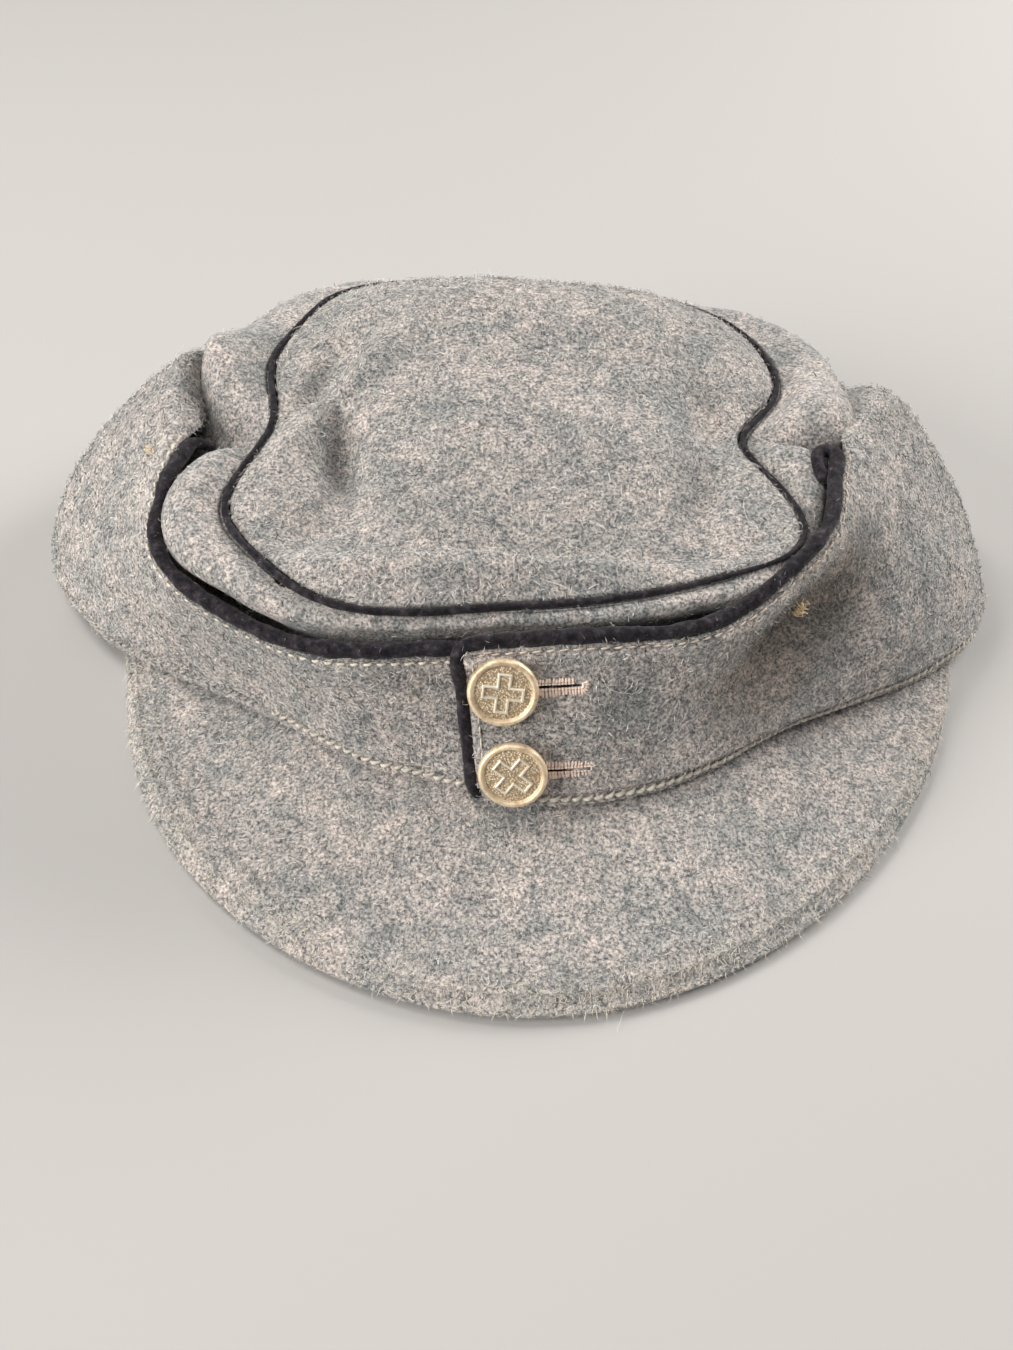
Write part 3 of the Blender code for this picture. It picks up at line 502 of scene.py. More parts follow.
def fold(ring, angle):
    """Sum of the folds on a ring: outward share and upward share."""
    out = up = 0.0 * angle
    for row in FOLDS:
        if ring in row.rings.split():
            weight = bump(turn_between(angle, row.angle), row.spread)
            out = out + row.out * weight
            up = up + row.up * weight
    return out, up


def oval(ring, angle, width, front, back, squareness):
    """Reach of an oval ring with its folds, whose front and back halves differ."""
    across = np.abs(np.sin(np.radians(angle))) / (width / 2)
    along = np.cos(np.radians(angle))
    along = np.abs(along) / np.where(along > 0.0, front, back)
    reach = (across ** squareness + along ** squareness) ** (-1.0 / squareness)
    return reach * (1.0 + fold(ring, angle)[0])


def foot_reach(angle):
    """Reach of the foot of the turn-up."""
    return oval("foot", angle, FOOT_WIDTH, FOOT_FRONT, FOOT_BACK, by_direction(FOOT_SQUARENESS, angle))


def seam_reach(angle):
    """Reach of the seam round the top panel."""
    return oval("seam", angle, TOP_WIDTH, TOP_FRONT, TOP_BACK, by_direction(TOP_SQUARENESS, angle))


def slant(ring, angle):
    """How much longer a gap across a ring is along the reach, where the ring runs slantwise."""
    change = np.log(ring(angle + 1.0) / ring(angle - 1.0)) / math.radians(2.0)
    return np.hypot(1.0, change)


def wall_ring(name, angle):
    """Reach and height of a ring of the crown wall."""
    row = WALL_ROWS[name]
    out, up = fold(name, angle)
    reach = between(seam_reach(angle), foot_reach(angle), by_direction(row.reach, angle))
    if name != "seam":
        reach = reach * (1.0 + out)
    return np.stack((reach, CROWN_HEIGHT * (by_direction(row.up, angle) + up)))


def peak_end(angle):
    """1 over the peak and 0 behind its ends."""
    return 1.0 - ease((np.abs(turn_between(angle, 0.0)) - PEAK_SPREAD) / PEAK_END_RUN)


def peak_reach(angle):
    """Root and rim reach of the peak."""
    root = foot_reach(angle) - BAND_THICKNESS - PEAK_TUCK
    rim = oval("rim", angle, PEAK_WIDTH, PEAK_FRONT, PEAK_FRONT, PEAK_SQUARENESS)
    return np.minimum(root, rim - PEAK_END_DEPTH), rim


def peak_height(angle, share):
    """Height of the peak's underside, a share of the way from root to rim."""
    rise = PEAK_RISE * np.maximum(0.0, np.cos(np.radians(angle))) ** PEAK_CURVE_ROUND
    return rise * (1.0 - share) ** PEAK_CURVE_OUT


def foot_height(angle, depth=0.0):
    """Height of the foot of the turn-up, which lies on the peak in front and on the floor behind."""
    root, rim = peak_reach(angle)
    inner = foot_reach(angle) - BAND_THICKNESS - depth
    share = np.clip((inner - root) / (rim - root), 0.0, 1.0)
    return (peak_height(angle, share) + PEAK_THICKNESS + GAP) * peak_end(angle)


def crest_ring(angle):
    """Reach and height of the crest of the turn-up."""
    out, up = fold("crest", angle)
    clear = FLAP_PIPING_DIAMETER + BAND_THICKNESS / 4 + GAP
    clear = clear + by_direction((1.0, 0.0, 0.0), angle) * (BAND_THICKNESS + LAP_GAP)
    share = by_direction(CREST.reach, angle)
    reach = wall_ring("puff", angle)[0] + clear + share * (foot_reach(angle) - seam_reach(angle))
    height = TURN_UP_HEIGHT * by_direction(CREST.up, angle) + CROWN_HEIGHT * up
    return np.stack((reach * (1.0 + out), height))


def top_piping_width(angle):
    """Diameter of the top piping as far as it shows above the seam."""
    sunk = SUNK_SHARE * bump(turn_between(angle, SUNK_ANGLE), SUNK_SPREAD)
    return TOP_PIPING_DIAMETER * by_direction(TOP_PIPING_SHOWN, angle) * (1.0 - sunk)


def seam_side(angle, above):
    """Point beside the top seam: where the top panel starts above it, or where the wall ends below it."""
    seam = wall_ring("seam", angle)
    clear = top_piping_width(angle) / 2 * slant(seam_reach, angle)
    if above:
        return seam + np.stack((-clear, SEAM_LIFT * clear))
    down = wall_ring("puff", angle) - seam
    return seam + down / np.hypot(*down) * SEAM_DROP * clear


def wall_rings(angle):
    """Rings of the crown wall's outer face, from its foot to the top seam."""
    reach = peak_reach(angle)[0] - PEAK_GAP * slant(foot_reach, angle)
    foot = np.stack((reach, peak_height(angle, 0.0) * peak_end(angle)))
    contact = wall_ring("contact", angle)
    low = between(foot, contact, WALL_LOW_SHARE)
    return np.stack((foot, low, contact, wall_ring("puff", angle), seam_side(angle, False)))


def band_rings(angle):
    """Rings of the turn-up's outer face as (reach, height), from the foot over the crest to the wall."""
    foot = np.stack((foot_reach(angle), foot_height(angle)))
    crest = crest_ring(angle)
    low, contact = wall_rings(angle)[1:3]
    lean = (low[0] - contact[0]) / (contact[1] - low[1])
    contact = np.stack((contact[0] + GAP + lean * BAND_THICKNESS, contact[1]))
    rings = [foot]
    for name, row in BAND_ROWS.items():
        out, up = fold(name, angle)
        reach = between(crest[0], foot[0], by_direction(row.reach, angle)) * (1.0 + out)
        height = between(foot[1], crest[1], by_direction(row.up, angle)) + CROWN_HEIGHT * up
        rings.append(np.stack((reach, height)))
    rings.append(crest)
    for share, drop in VALLEY_ROWS:
        rings.append(np.stack((between(contact[0], crest[0], share), between(crest[1], contact[1], drop))))
    rings.append(contact)
    return np.stack(rings)


def run_through(points, place):
    """Places on smooth curves: points is rings by (reach, height) by curves, place is one value a curve."""
    last = len(points) - 1
    index = np.clip(place.astype(int), 0, last - 1)
    t = place - index

    def ring(at):
        return np.take_along_axis(points, np.broadcast_to(at, points.shape[1:])[None], axis=0)[0]

    p1, p2 = ring(index), ring(index + 1)
    p0 = np.where(index > 0, ring(np.maximum(index - 1, 0)), 2 * p1 - p2)
    p3 = np.where(index + 2 <= last, ring(np.minimum(index + 2, last)), 2 * p2 - p1)
    before, here, after = (np.hypot(*step) for step in (p1 - p0, p2 - p1, p3 - p2))
    slope1 = (p2 - p0) * here / (before + here)
    slope2 = (p3 - p1) * here / (here + after)
    return ((2 * t ** 3 - 3 * t ** 2 + 1) * p1 + (t ** 3 - 2 * t ** 2 + t) * slope1
            + (3 * t ** 2 - 2 * t ** 3) * p2 + (t ** 3 - t ** 2) * slope2)


def in_direction(angle, profile):
    """Points in space from angles and (reach, height)."""
    turn = np.radians(angle)
    return np.stack((profile[0] * np.sin(turn), -profile[0] * np.cos(turn), profile[1]), axis=-1)


def band_point(angle, place):
    """Points on the outer face of the turn-up."""
    angle, place = np.broadcast_arrays(np.asarray(angle, float), np.asarray(place, float))
    return in_direction(angle, run_through(band_rings(angle), place))


def band_rise(angle, place):
    """Step up the turn-up over a fifth of a ring."""
    return band_point(angle, place + 0.1) - band_point(angle, place - 0.1)


def band_normal(angle, place):
    """Unit normals of the outer face of the turn-up."""
    along = band_point(angle + 0.5, place) - band_point(angle - 0.5, place)
    return unit(np.cross(along, band_rise(angle, place)))


def edge_place(angle):
    """Place on the turn-up where its cloth ends: the crest in front, the wall behind the slit."""
    turn = turn_between(angle, 0.0)
    start = np.where(turn > 0.0, SLIT_START_RIGHT, SLIT_START_LEFT)
    return between(CREST_PLACE, BAND_END_PLACE, ease((np.abs(turn) - start) / SLIT_RUN))


def face_normals(grid, around, passes):
    """Unit normals of a grid of points, stations by samples, evened out along the samples."""
    if around:
        along = np.roll(grid, -1, axis=0) - np.roll(grid, 1, axis=0)
    else:
        along = np.gradient(grid, axis=0)
    normals = unit(np.cross(along, np.gradient(grid, axis=1)))
    for _ in range(passes):
        wide = np.concatenate((normals[:, :1], normals, normals[:, -1:]), axis=1)
        normals = (wide[:, :-2] + 2 * wide[:, 1:-1] + wide[:, 2:]) / 4
    return unit(normals)


def waves(points, size, seed):
    """Smooth uneven field from -1 to about 1 whose bumps are about size across."""
    random = np.random.default_rng(seed)
    total = 0.0
    for _ in range(WAVE_COUNT):
        direction = unit(random.normal(size=3)) * random.uniform(*WAVE_SIZES) * math.pi / size
        total = total + np.sin(points @ direction + random.uniform(0.0, 2.0 * math.pi))
    return total / math.sqrt(WAVE_COUNT / 2.0) / WAVE_PEAK


def uneven(points, cloth):
    """Sum of the waves of a cloth."""
    return sum(height * waves(points, size, seed) for height, size, seed in WAVES[cloth])


def creases(rows, angle, place):
    """How far the creases of a table move a face outward."""
    relief = 0.0
    for row in rows:
        sideways = turn_between(angle, row.angle)
        up = place - row.place - row.slant * sideways
        relief = relief + row.depth * bump(sideways, row.wide) * bump(up, row.tall)
    return relief


def grooves(rows, distance):
    """How far the rolls and grooves of a table move a face outward at a distance from its edge."""
    return sum(height * bump(distance, width, middle) for height, middle, width in rows)


def lengths_along(grid):
    """Distance of each point from the first sample of its station."""
    steps = np.linalg.norm(np.diff(grid, axis=1), axis=2)
    return np.concatenate((np.zeros((len(grid), 1)), np.cumsum(steps, axis=1)), axis=1)


def lengths_back(grid):
    """Distance of each point from the last sample of its station."""
    return lengths_along(grid[:, ::-1])[:, ::-1]


def build_mesh(name, points, faces, looks, face_look=0, smooth=True):
    """Mesh object from points and faces, which are one array or a list of arrays of equal faces."""
    groups = faces if isinstance(faces, list) else [faces]
    sizes = np.concatenate([np.full(len(group), group.shape[1]) for group in groups])
    corners = np.concatenate([group.ravel() for group in groups])
    points = np.asarray(points, np.float32).reshape(-1, 3)
    mesh = bpy.data.meshes.new(name)
    mesh.vertices.add(len(points))
    mesh.vertices.foreach_set("co", points.ravel())
    mesh.loops.add(len(corners))
    mesh.loops.foreach_set("vertex_index", corners.astype(np.int32))
    mesh.polygons.add(len(sizes))
    mesh.polygons.foreach_set("loop_start", (np.cumsum(sizes) - sizes).astype(np.int32))
    mesh.polygons.foreach_set("use_smooth", np.full(len(sizes), smooth))
    for look in looks:
        mesh.materials.append(look)
    mesh.polygons.foreach_set("material_index", np.zeros(len(sizes), np.int32) + np.int32(face_look))
    mesh.update(calc_edges=True)
    mesh.validate()
    return link(name, mesh)


def link(name, data):
    """Object of a mesh, a lamp or a camera, put in the scene."""
    made = bpy.data.objects.new(name, data)
    bpy.context.scene.collection.objects.link(made)
    return made


def grid_faces(rows, sides, around=True, closed=False):
    """Quads of a grid of rows; around closes each row, and closed joins the last row to the first."""
    row, column = np.meshgrid(np.arange(rows if closed else rows - 1),
                              np.arange(sides if around else sides - 1), indexing="ij")
    start, after = row * sides, (row + 1) % rows * sides
    beside = (column + 1) % sides
    return np.stack((start + column, after + column, after + beside, start + beside), -1).reshape(-1, 4)


def repeated(faces, points, count):
    """Faces of a form of so many points, for count such forms."""
    return (faces + points * np.arange(count)[:, None, None]).reshape(-1, faces.shape[1])


def capped(rings):
    """Points and faces of a tube, rows by sides, whose two ends are closed by fans."""
    rows, sides = rings.shape[:2]
    first = np.arange(sides)
    last = first[::-1] + (rows - 1) * sides
    fans = [np.stack((ring, np.roll(ring, -1), np.full(sides, rows * sides + k)), axis=1)
            for k, ring in enumerate((first, last))]
    points = np.concatenate((rings.reshape(-1, 3), rings[[0, -1]].mean(axis=1)))
    return points, [grid_faces(rows, sides), np.concatenate(fans)]


def rounded_edge(outer, inner, edge, before):
    """Points round a cloth's edge as a half round; edge and before are its samples."""
    middle = (outer[:, edge] + inner[:, edge]) / 2
    half = (outer[:, edge] - inner[:, edge]) / 2
    depth = np.linalg.norm(half, axis=-1, keepdims=True) * EDGE_ROUNDNESS
    away = unit(middle - (outer[:, before] + inner[:, before]) / 2) * depth
    arc = [middle - away + half * math.cos(turn) + away * math.sin(turn) for turn in EDGE_TURNS]
    return np.stack(arc, axis=1)


def cloth_piece(name, outer, inner, around, look):
    """Closed cloth with rounded edges from its outer and inner faces, stations by samples."""
    top = rounded_edge(outer, inner, -1, -2)
    foot = rounded_edge(inner, outer, 0, 1)
    rings = np.concatenate((outer[:, 1:-1], top, inner[:, -2:0:-1], foot), axis=1)
    if around:
        return build_mesh(name, rings, grid_faces(*rings.shape[:2], closed=True), [look])
    return build_mesh(name, *capped(rings), [look])


def even_places(angle, end):
    """Places up the turn-up at equal distances, for each station."""
    rough = np.linspace(0.0, 1.0, 121)[None, :] * end[:, None]
    length = lengths_along(band_point(angle[:, None], rough))
    return np.stack([np.interp(BAND_SHARES * row[-1], row, places) for row, places in zip(length, rough)])


def band_grid():
    """Outer face, inner face and normals of the turn-up, and the angles and places of its points."""
    step = (BAND_ANGLES - RIGHT_END_EDGE) / (LEFT_END - RIGHT_END_EDGE)
    middle = between((RIGHT_END_FOOT + RIGHT_END_EDGE) / 2, LEFT_END, step)
    lap = ease((middle - LEFT_END + LAP_LENGTH) / LAP_RUN)
    end = edge_place(BAND_ANGLES) - LAP_DROP_RINGS * lap
    place = even_places(BAND_ANGLES, end)
    start = between(RIGHT_END_FOOT, RIGHT_END_EDGE, place / end[:, None])
    angle = between(start, LEFT_END, step[:, None])
    face = band_point(angle, place)
    normals = face_normals(face, False, 2)
    depth = lap * (BAND_THICKNESS + LAP_GAP)
    outer = face - normals * depth[:, None, None]
    inner = outer - normals * BAND_THICKNESS
    feet = foot_height(angle[:, 0], depth)
    inner[:, 0, 2] = feet
    outer[:, 0, 2] = feet + FOOT_LIFT
    hollows = creases(BAND_CREASES, angle, place)
    outer = outer + normals * band_relief(outer, hollows)[..., None]
    inner = inner + normals * np.minimum(hollows, 0.0)[..., None]
    return outer, inner, normals, angle, place


def band_relief(grid, hollows):
    """How far the turn-up's face stands out from its smooth form: creases, uneven cloth and seams."""
    from_foot = lengths_along(grid)
    from_edge = from_foot[:, -1:] - from_foot
    calm = ease(from_foot / 0.002) * ease(from_edge / 0.002)
    seams = grooves(HEM_GROOVES, from_foot) + grooves(EDGE_GROOVES, from_edge)
    return (uneven(grid, "band") + hollows) * calm + seams


def slanted(outer, inner, sample):
    """Inner face whose edge at the top seam slants, so that the two cloths of the seam stay apart."""
    outward = unit(outer[:, sample] * (1.0, 1.0, 0.0))
    inner[:, sample] = outer[:, sample] - EDGE_ROUNDNESS * CLOTH_THICKNESS * (outward + (0.0, 0.0, 1.0))
    return inner


def wall_grid():
    """Outer face, inner face and normals of the crown wall."""
    angle, place = np.meshgrid(ROUND_ANGLES, WALL_PLACES, indexing="ij")
    grid = in_direction(angle, run_through(wall_rings(angle), place))
    normals = face_normals(grid, True, 3)
    calm = ease(place / 0.5) * ease((WALL_END_PLACE - place) / 0.5)
    puffs = calm * creases(WALL_PUFFS, angle, place)
    outer = grid + normals * (calm * uneven(grid, "wall") + puffs)[..., None]
    inner = grid + normals * (np.minimum(puffs, 0.0) - CLOTH_THICKNESS)[..., None]
    inner[:, 0, 2] = grid[:, 0, 2]
    return outer, slanted(grid, inner, -1), face_normals(outer, True, 1)


def top_height(x, y, rim, share):
    """Height of the top panel's outer face at a share of the way out to its rim."""
    height = between(CROWN_HEIGHT * TOP_MIDDLE_SHARE, rim, share ** TOP_CURVE)
    for row in DENTS:
        across = x / (TOP_WIDTH / 2) - row.x
        along = y / TOP_FRONT - row.y
        spread = np.where(along < 0.0, row.spread_front, row.spread_back)
        dent = CROWN_HEIGHT * row.lift * bump(across, row.spread_x) * bump(along, spread)
        height = height + dent * (1.0 - share ** DENT_FADE)
    for row in TOP_FORMS:
        turn = math.radians(row.turn)
        along = (x - row.x) * math.cos(turn) + (y - row.y) * math.sin(turn)
        across = (y - row.y) * math.cos(turn) - (x - row.x) * math.sin(turn)
        roll = row.lift * bump(along, row.long) * bump(across, row.wide)
        height = height + roll * (1.0 - share ** FORM_FADE)
    return height


def top_grid():
    """Outer face, inner face and normals of the top panel, from the seam to near the middle."""
    angle, share = np.meshgrid(ROUND_ANGLES, TOP_SHARES, indexing="ij")
    reach, rim = seam_side(angle, True)
    grid = in_direction(angle, (reach * share, rim))
    grid[..., 2] = top_height(grid[..., 0], grid[..., 1], rim, share)
    normals = face_normals(grid, True, 2)
    calm = ease((1.0 - share) / 0.06) * ease(share / 0.15)
    outer = grid + normals * (calm * uneven(grid, "top"))[..., None]
    return outer, slanted(grid, grid - normals * CLOTH_THICKNESS, 0), normals


def make_top(outer, inner, look):
    """Top panel as a disc with a rounded rim and a closed middle."""
    rim = rounded_edge(inner, outer, 0, 1)
    rings = np.concatenate((inner[:, :0:-1], rim, outer[:, 1:]), axis=1)
    points, (quads, fans) = capped(rings.swapaxes(0, 1)[:, ::-1])
    # A face splits along the diagonal from its first corner, so the first corner follows the stations.
    return build_mesh("cloth_top", points, [np.roll(quads, 1, axis=1), fans], [look])


def peak_grid():
    """Upper face, lower face and normals of the peak."""
    angle, share = np.meshgrid(PEAK_ANGLES, PEAK_SHARES, indexing="ij")
    root, rim = peak_reach(angle)
    rounding = RIM_ROUNDING * PEAK_THICKNESS * ease((share - 1.0 + RIM_ROUNDING_SHARE) / RIM_ROUNDING_SHARE)
    reach = between(root, rim, share)
    low = peak_height(angle, share)
    upper = in_direction(angle, (reach, low + PEAK_THICKNESS - rounding))
    lower = in_direction(angle, (reach, low + rounding))
    normals = face_normals(upper, False, 1)
    from_rim = lengths_back(upper)
    relief = uneven(upper, "peak") + grooves(PEAK_GROOVES, from_rim)
    calm = ease(from_rim / 0.003) * ease(share / 0.1)
    return upper + normals * (relief * calm)[..., None], lower, normals


def interpolate(places, length, rows):
    """Rows of numbers at places along a length."""
    return np.stack([np.interp(places, length, column) for column in rows.T], axis=-1)


def line_on(grid, normals, distance, from_end=False):
    """Points and normals of a line on a face, a distance from its first or last sample."""
    if from_end:
        grid, normals = grid[:, ::-1], normals[:, ::-1]
    length = lengths_along(grid)
    points = [interpolate(distance, *row) for row in zip(length, grid)]
    ups = [interpolate(distance, *row) for row in zip(length, normals)]
    return np.array(points), unit(np.array(ups))


def evened(line, passes):
    """A line whose inner points are drawn towards their neighbours."""
    line = np.array(line, float)
    for _ in range(passes):
        line[1:-1] = (line[:-2] + 2 * line[1:-1] + line[2:]) / 4
    return line


def evenly(step, line, *others):
    """A line, and rows of numbers that go with its points, resampled at even steps."""
    length = lengths_along(line[None])[0]
    places = np.linspace(0.0, length[-1], int(length[-1] / step) + 1)
    return [interpolate(places, length, rows) for rows in (line, *others)]


def circle(first, second, sides):
    """Unit rings spanned by two directions, with one more axis that runs round each ring."""
    turn = 2.0 * np.pi * np.arange(sides)[:, None] / sides
    return first[..., None, :] * np.cos(turn) + second[..., None, :] * np.sin(turn)


def threads(starts, ends, ups, radius, lift, sink):
    """Points and faces of short thread stitches, each arched over the cloth between its two holes."""
    along = ends - starts
    share = np.linspace(0.0, 1.0, STITCH_ROWS)[:, None]
    swell = np.sin(np.pi * share)
    arch = (lift + sink) * swell ** THREAD_ARCH - sink
    middle = starts[:, None] + along[:, None] * share + ups[:, None] * arch
    thick = radius * between(THREAD_TIP_SHARE, 1.0, swell)
    ring = circle(unit(np.cross(unit(along), ups)), ups, STITCH_SIDES)
    points = middle[:, :, None] + ring[:, None] * thick[..., None]
    faces = grid_faces(STITCH_ROWS, STITCH_SIDES)
    return points.reshape(-1, 3), repeated(faces, STITCH_ROWS * STITCH_SIDES, len(starts))


def stitch_row(name, line, stitch, radius, look):
    """Row of stitches along a line of points and normals."""
    even, over = evenly(stitch.pitch, *line)
    along = even[1:] - even[:-1]
    up = unit(over)[:-1]
    sideways = unit(np.cross(up, along)) * stitch.rise / 2
    starts = even[:-1] + along * stitch.space - sideways
    ends = even[1:] - along * stitch.space + sideways
    return build_mesh("stitches_" + name, *threads(starts, ends, up, radius, radius * 1.2, radius), [look])


def tube(points, ups, radius, sides, closed=False):
    """Points and faces of a tube; radius is one value or rows by sides."""
    if closed:
        along = unit(np.roll(points, -1, axis=0) - np.roll(points, 1, axis=0))
    else:
        along = unit(np.gradient(points, axis=0))
    across = unit(np.cross(along, ups))
    ring = circle(across, np.cross(across, along), sides)
    grid = points[:, None] + ring * np.broadcast_to(radius, ring.shape[:2])[..., None]
    return grid, grid_faces(len(points), sides, closed=closed)


def make_cord(name, points, ups, diameter, look, closed=False):
    """Felt piping with an uneven surface and rounded ends, and its grid; diameter has one value a point."""
    radius = diameter / 2 * (1.0 + uneven(points, "piping"))
    if not closed:
        length = lengths_along(points[None])[0]
        for distance in (length, length[-1] - length):
            share = np.clip(distance / (diameter / 2), 0.0, 1.0)
            radius = radius * np.sqrt(np.maximum(1.0 - (1.0 - share) ** 2, 0.01))
    grid, faces = tube(points, ups, radius[:, None], CORD_SIDES, closed)
    return build_mesh(name, grid, faces, [look]), grid


def scatter(grid, normals, count, random, weight):
    """Random places on a grid face: points, normals and two directions in the face."""
    a, b = grid[:-1, :-1], grid[1:, :-1]
    c, d = grid[1:, 1:], grid[:-1, 1:]
    area = np.linalg.norm(np.cross(c - a, d - b), axis=2)
    if weight is not None:
        area = area * weight[:-1, :-1]
    cell = random.choice(area.size, size=count, p=(area / area.sum()).ravel())
    at = np.unravel_index(cell, area.shape)
    u, v = random.random((2, count, 1))
    place = a[at] * (1 - u) * (1 - v) + b[at] * u * (1 - v) + c[at] * u * v + d[at] * (1 - u) * v
    normal = normals[at]
    first = unit(b[at] - a[at] + 1e-9)
    first = unit(first - normal * np.sum(first * normal, axis=1, keepdims=True))
    return place, normal, first, np.cross(normal, first)


def fibres(row, face, count, looks):
    """Short wool fibres lying and standing on a face, as thin ribbons of three triangles."""
    random = np.random.default_rng(row.seed)
    place, normal, first, second = scatter(*face[:2], count, random, face[2])
    turn = random.uniform(0.0, 2.0 * np.pi, (count, 1))
    heading = first * np.cos(turn) + second * np.sin(turn)
    side = np.cross(normal, heading)
    long = random.uniform(*row.kind.length, (count, 1))
    curl = random.normal(0.0, FIBRE_CURL, (count, 1))
    lift = row.kind.lift
    rise = np.minimum(random.exponential(lift, (count, 1)), FIBRE_LIFT_LIMIT * lift)
    share = np.linspace(0.0, 1.0, 3)[:, None]
    middle = (place[:, None] - normal[:, None] * FIBRE_ROOT
              + heading[:, None] * long[:, None] * share
              + side[:, None] * (curl * long)[:, None] * share ** 2
              + normal[:, None] * rise[:, None] * np.sin(share * FIBRE_BEND))
    middle[..., 2] = np.maximum(middle[..., 2], FIBRE_FLOOR)
    tilt = random.uniform(-FIBRE_TILT, FIBRE_TILT, (count, 1))
    wide = side * np.cos(tilt) + normal * np.sin(tilt)
    half = wide * row.kind.width * random.uniform(*FIBRE_WIDTHS, (count, 1)) / 2
    points = np.stack((middle[:, 0] - half, middle[:, 0] + half, middle[:, 1] - half, middle[:, 1] + half,
                       middle[:, 2]), axis=1)
    faces = repeated(np.array([[0, 1, 3], [0, 3, 2], [2, 3, 4]]), 5, count)
    chance = np.array(list(row.mix.values()))
    tone = random.choice(len(chance), size=count, p=chance / chance.sum())
    return build_mesh(row.name, points, faces, [looks[name] for name in row.mix], np.repeat(tone, 3))


def loose_hairs(name, face, count, hair, look, seed, weight=None):
    """Long loose hairs, curled over the cloth, as thin round threads."""
    random = np.random.default_rng(seed)
    place, normal, first, second = scatter(*face, count, random, weight)
    share = np.linspace(0.0, 1.0, HAIR_ROWS)
    hairs = []
    for k in range(count):
        long = random.uniform(*hair.length)
        start = random.uniform(0.0, 2.0 * math.pi)
        bend = random.normal(0.0, HAIR_BEND)
        heading = (start + np.cumsum(random.normal(bend, HAIR_WANDER, HAIR_ROWS)))[:, None]
        steps = long / HAIR_ROWS * (first[k] * np.cos(heading) + second[k] * np.sin(heading))
        lift = HAIR_LIFT + random.uniform(*HAIR_ARCH) * np.sin(np.pi * share) ** 2
        middle = place[k] + np.cumsum(steps, axis=0) + normal[k] * lift[:, None]
        middle[:, 2] = np.maximum(middle[:, 2], HAIR_FLOOR)
        hairs.append(tube(middle, normal[k], hair.radius, HAIR_SIDES)[0])
    faces = repeated(grid_faces(HAIR_ROWS, HAIR_SIDES), HAIR_ROWS * HAIR_SIDES, count)
    return build_mesh(name, hairs, faces, [look])


class Look:
    """A material, and short hand for its nodes."""

    INPUTS = {"roughness": "Roughness", "specular": "Specular IOR Level", "metallic": "Metallic",
              "sheen": "Sheen Weight", "sheen_roughness": "Sheen Roughness", "sheen_tint": "Sheen Tint",
              "colour": "Base Color"}

    def __init__(self, name, **inputs):
        self.material = bpy.data.materials.new(name)
        self.material.use_nodes = True
        self.tree = self.material.node_tree
        self.shader = self.tree.nodes["Principled BSDF"]
        self.where = self.node("TexCoord", {}).outputs["Object"]
        self.set(**inputs)

    def set(self, **inputs):
        """Fill inputs of the shader."""
        self.fill(self.shader, {self.INPUTS[key]: value for key, value in inputs.items()})

    def fill(self, node, inputs):
        """Fill inputs of a node: a socket is linked, and a number or a colour is set."""
        for key, value in inputs.items():
            socket = node.inputs[key]
            if isinstance(value, bpy.types.NodeSocket):
                self.tree.links.new(value, socket)
            else:
                socket.default_value = (*value, 1.0) if socket.type == "RGBA" else value

    def node(self, kind, inputs):
        """A new node."""
        node = self.tree.nodes.new("ShaderNode" + kind)
        self.fill(node, inputs)
        return node

    def noise(self, size, detail, roughness):
        """Noise whose lumps are about size metres across."""
        inputs = {"Vector": self.where, "Scale": 0.5 / size, "Detail": detail, "Roughness": roughness}
        return self.node("TexNoise", inputs).outputs["Fac"]

    def ramp(self, source, *stops, blend="LINEAR"):
        """Colours at places along a value."""
        node = self.node("ValToRGB", {"Fac": source})
        node.color_ramp.interpolation = blend
        elements = node.color_ramp.elements
        for _ in stops[2:]:
            elements.new(0.5)
        for element, (place, colour) in zip(elements, stops):
            element.position = place
            element.color = (*colour, 1.0)
        return node.outputs["Color"]

    def multiply(self, share, first, second):
        """A colour multiplied by another, as far as share says."""
        node = self.node("Mix", {})
        node.data_type = "RGBA"
        node.blend_type = "MULTIPLY"
        self.fill(node, {0: share, 6: first, 7: second})
        return node.outputs[2]

    def soil(self, colour, seat):
        """A colour darkened softly in the right flap's hollow, partly as painted shade and partly as a
        brownish tint of dirt; seat is the hollow's middle and turn.
        """
        inputs = {"Vector": self.where, "Location": seat[0], "Rotation": seat[1], "Scale": SHADE_AND_SOIL_REACH}
        mapping = self.node("Mapping", inputs)
        mapping.vector_type = "TEXTURE"
        spot = self.node("TexGradient", {"Vector": mapping.outputs["Vector"]})
        spot.gradient_type = "SPHERICAL"
        share = self.ramp(spot.outputs["Fac"], (0.0, (0.0, 0.0, 0.0)), (0.65, (1.0, 1.0, 1.0)), blend="EASE")
        return self.multiply(share, colour, SHADE_AND_SOIL_TINT)

    def bump(self, height, strength, distance):
        """Add a bump from a height to the shader, over the bump that is there."""
        node = self.node("Bump", {"Height": height, "Strength": strength, "Distance": distance})
        normal = self.shader.inputs["Normal"]
        if normal.is_linked:
            self.tree.links.new(normal.links[0].from_socket, node.inputs["Normal"])
        self.tree.links.new(node.outputs["Normal"], normal)


def shade_and_soil_seat(shift):
    """Middle of the right flap's darkened hollow (painted shade and dirt) in the frame, and the turn of its
    long axis.
    """
    low, high = (Vector(band_point(*end)) for end in SHADE_AND_SOIL_ENDS)
    return (low + high) / 2 + shift, (high - low).to_track_quat("X", "Z").to_euler()


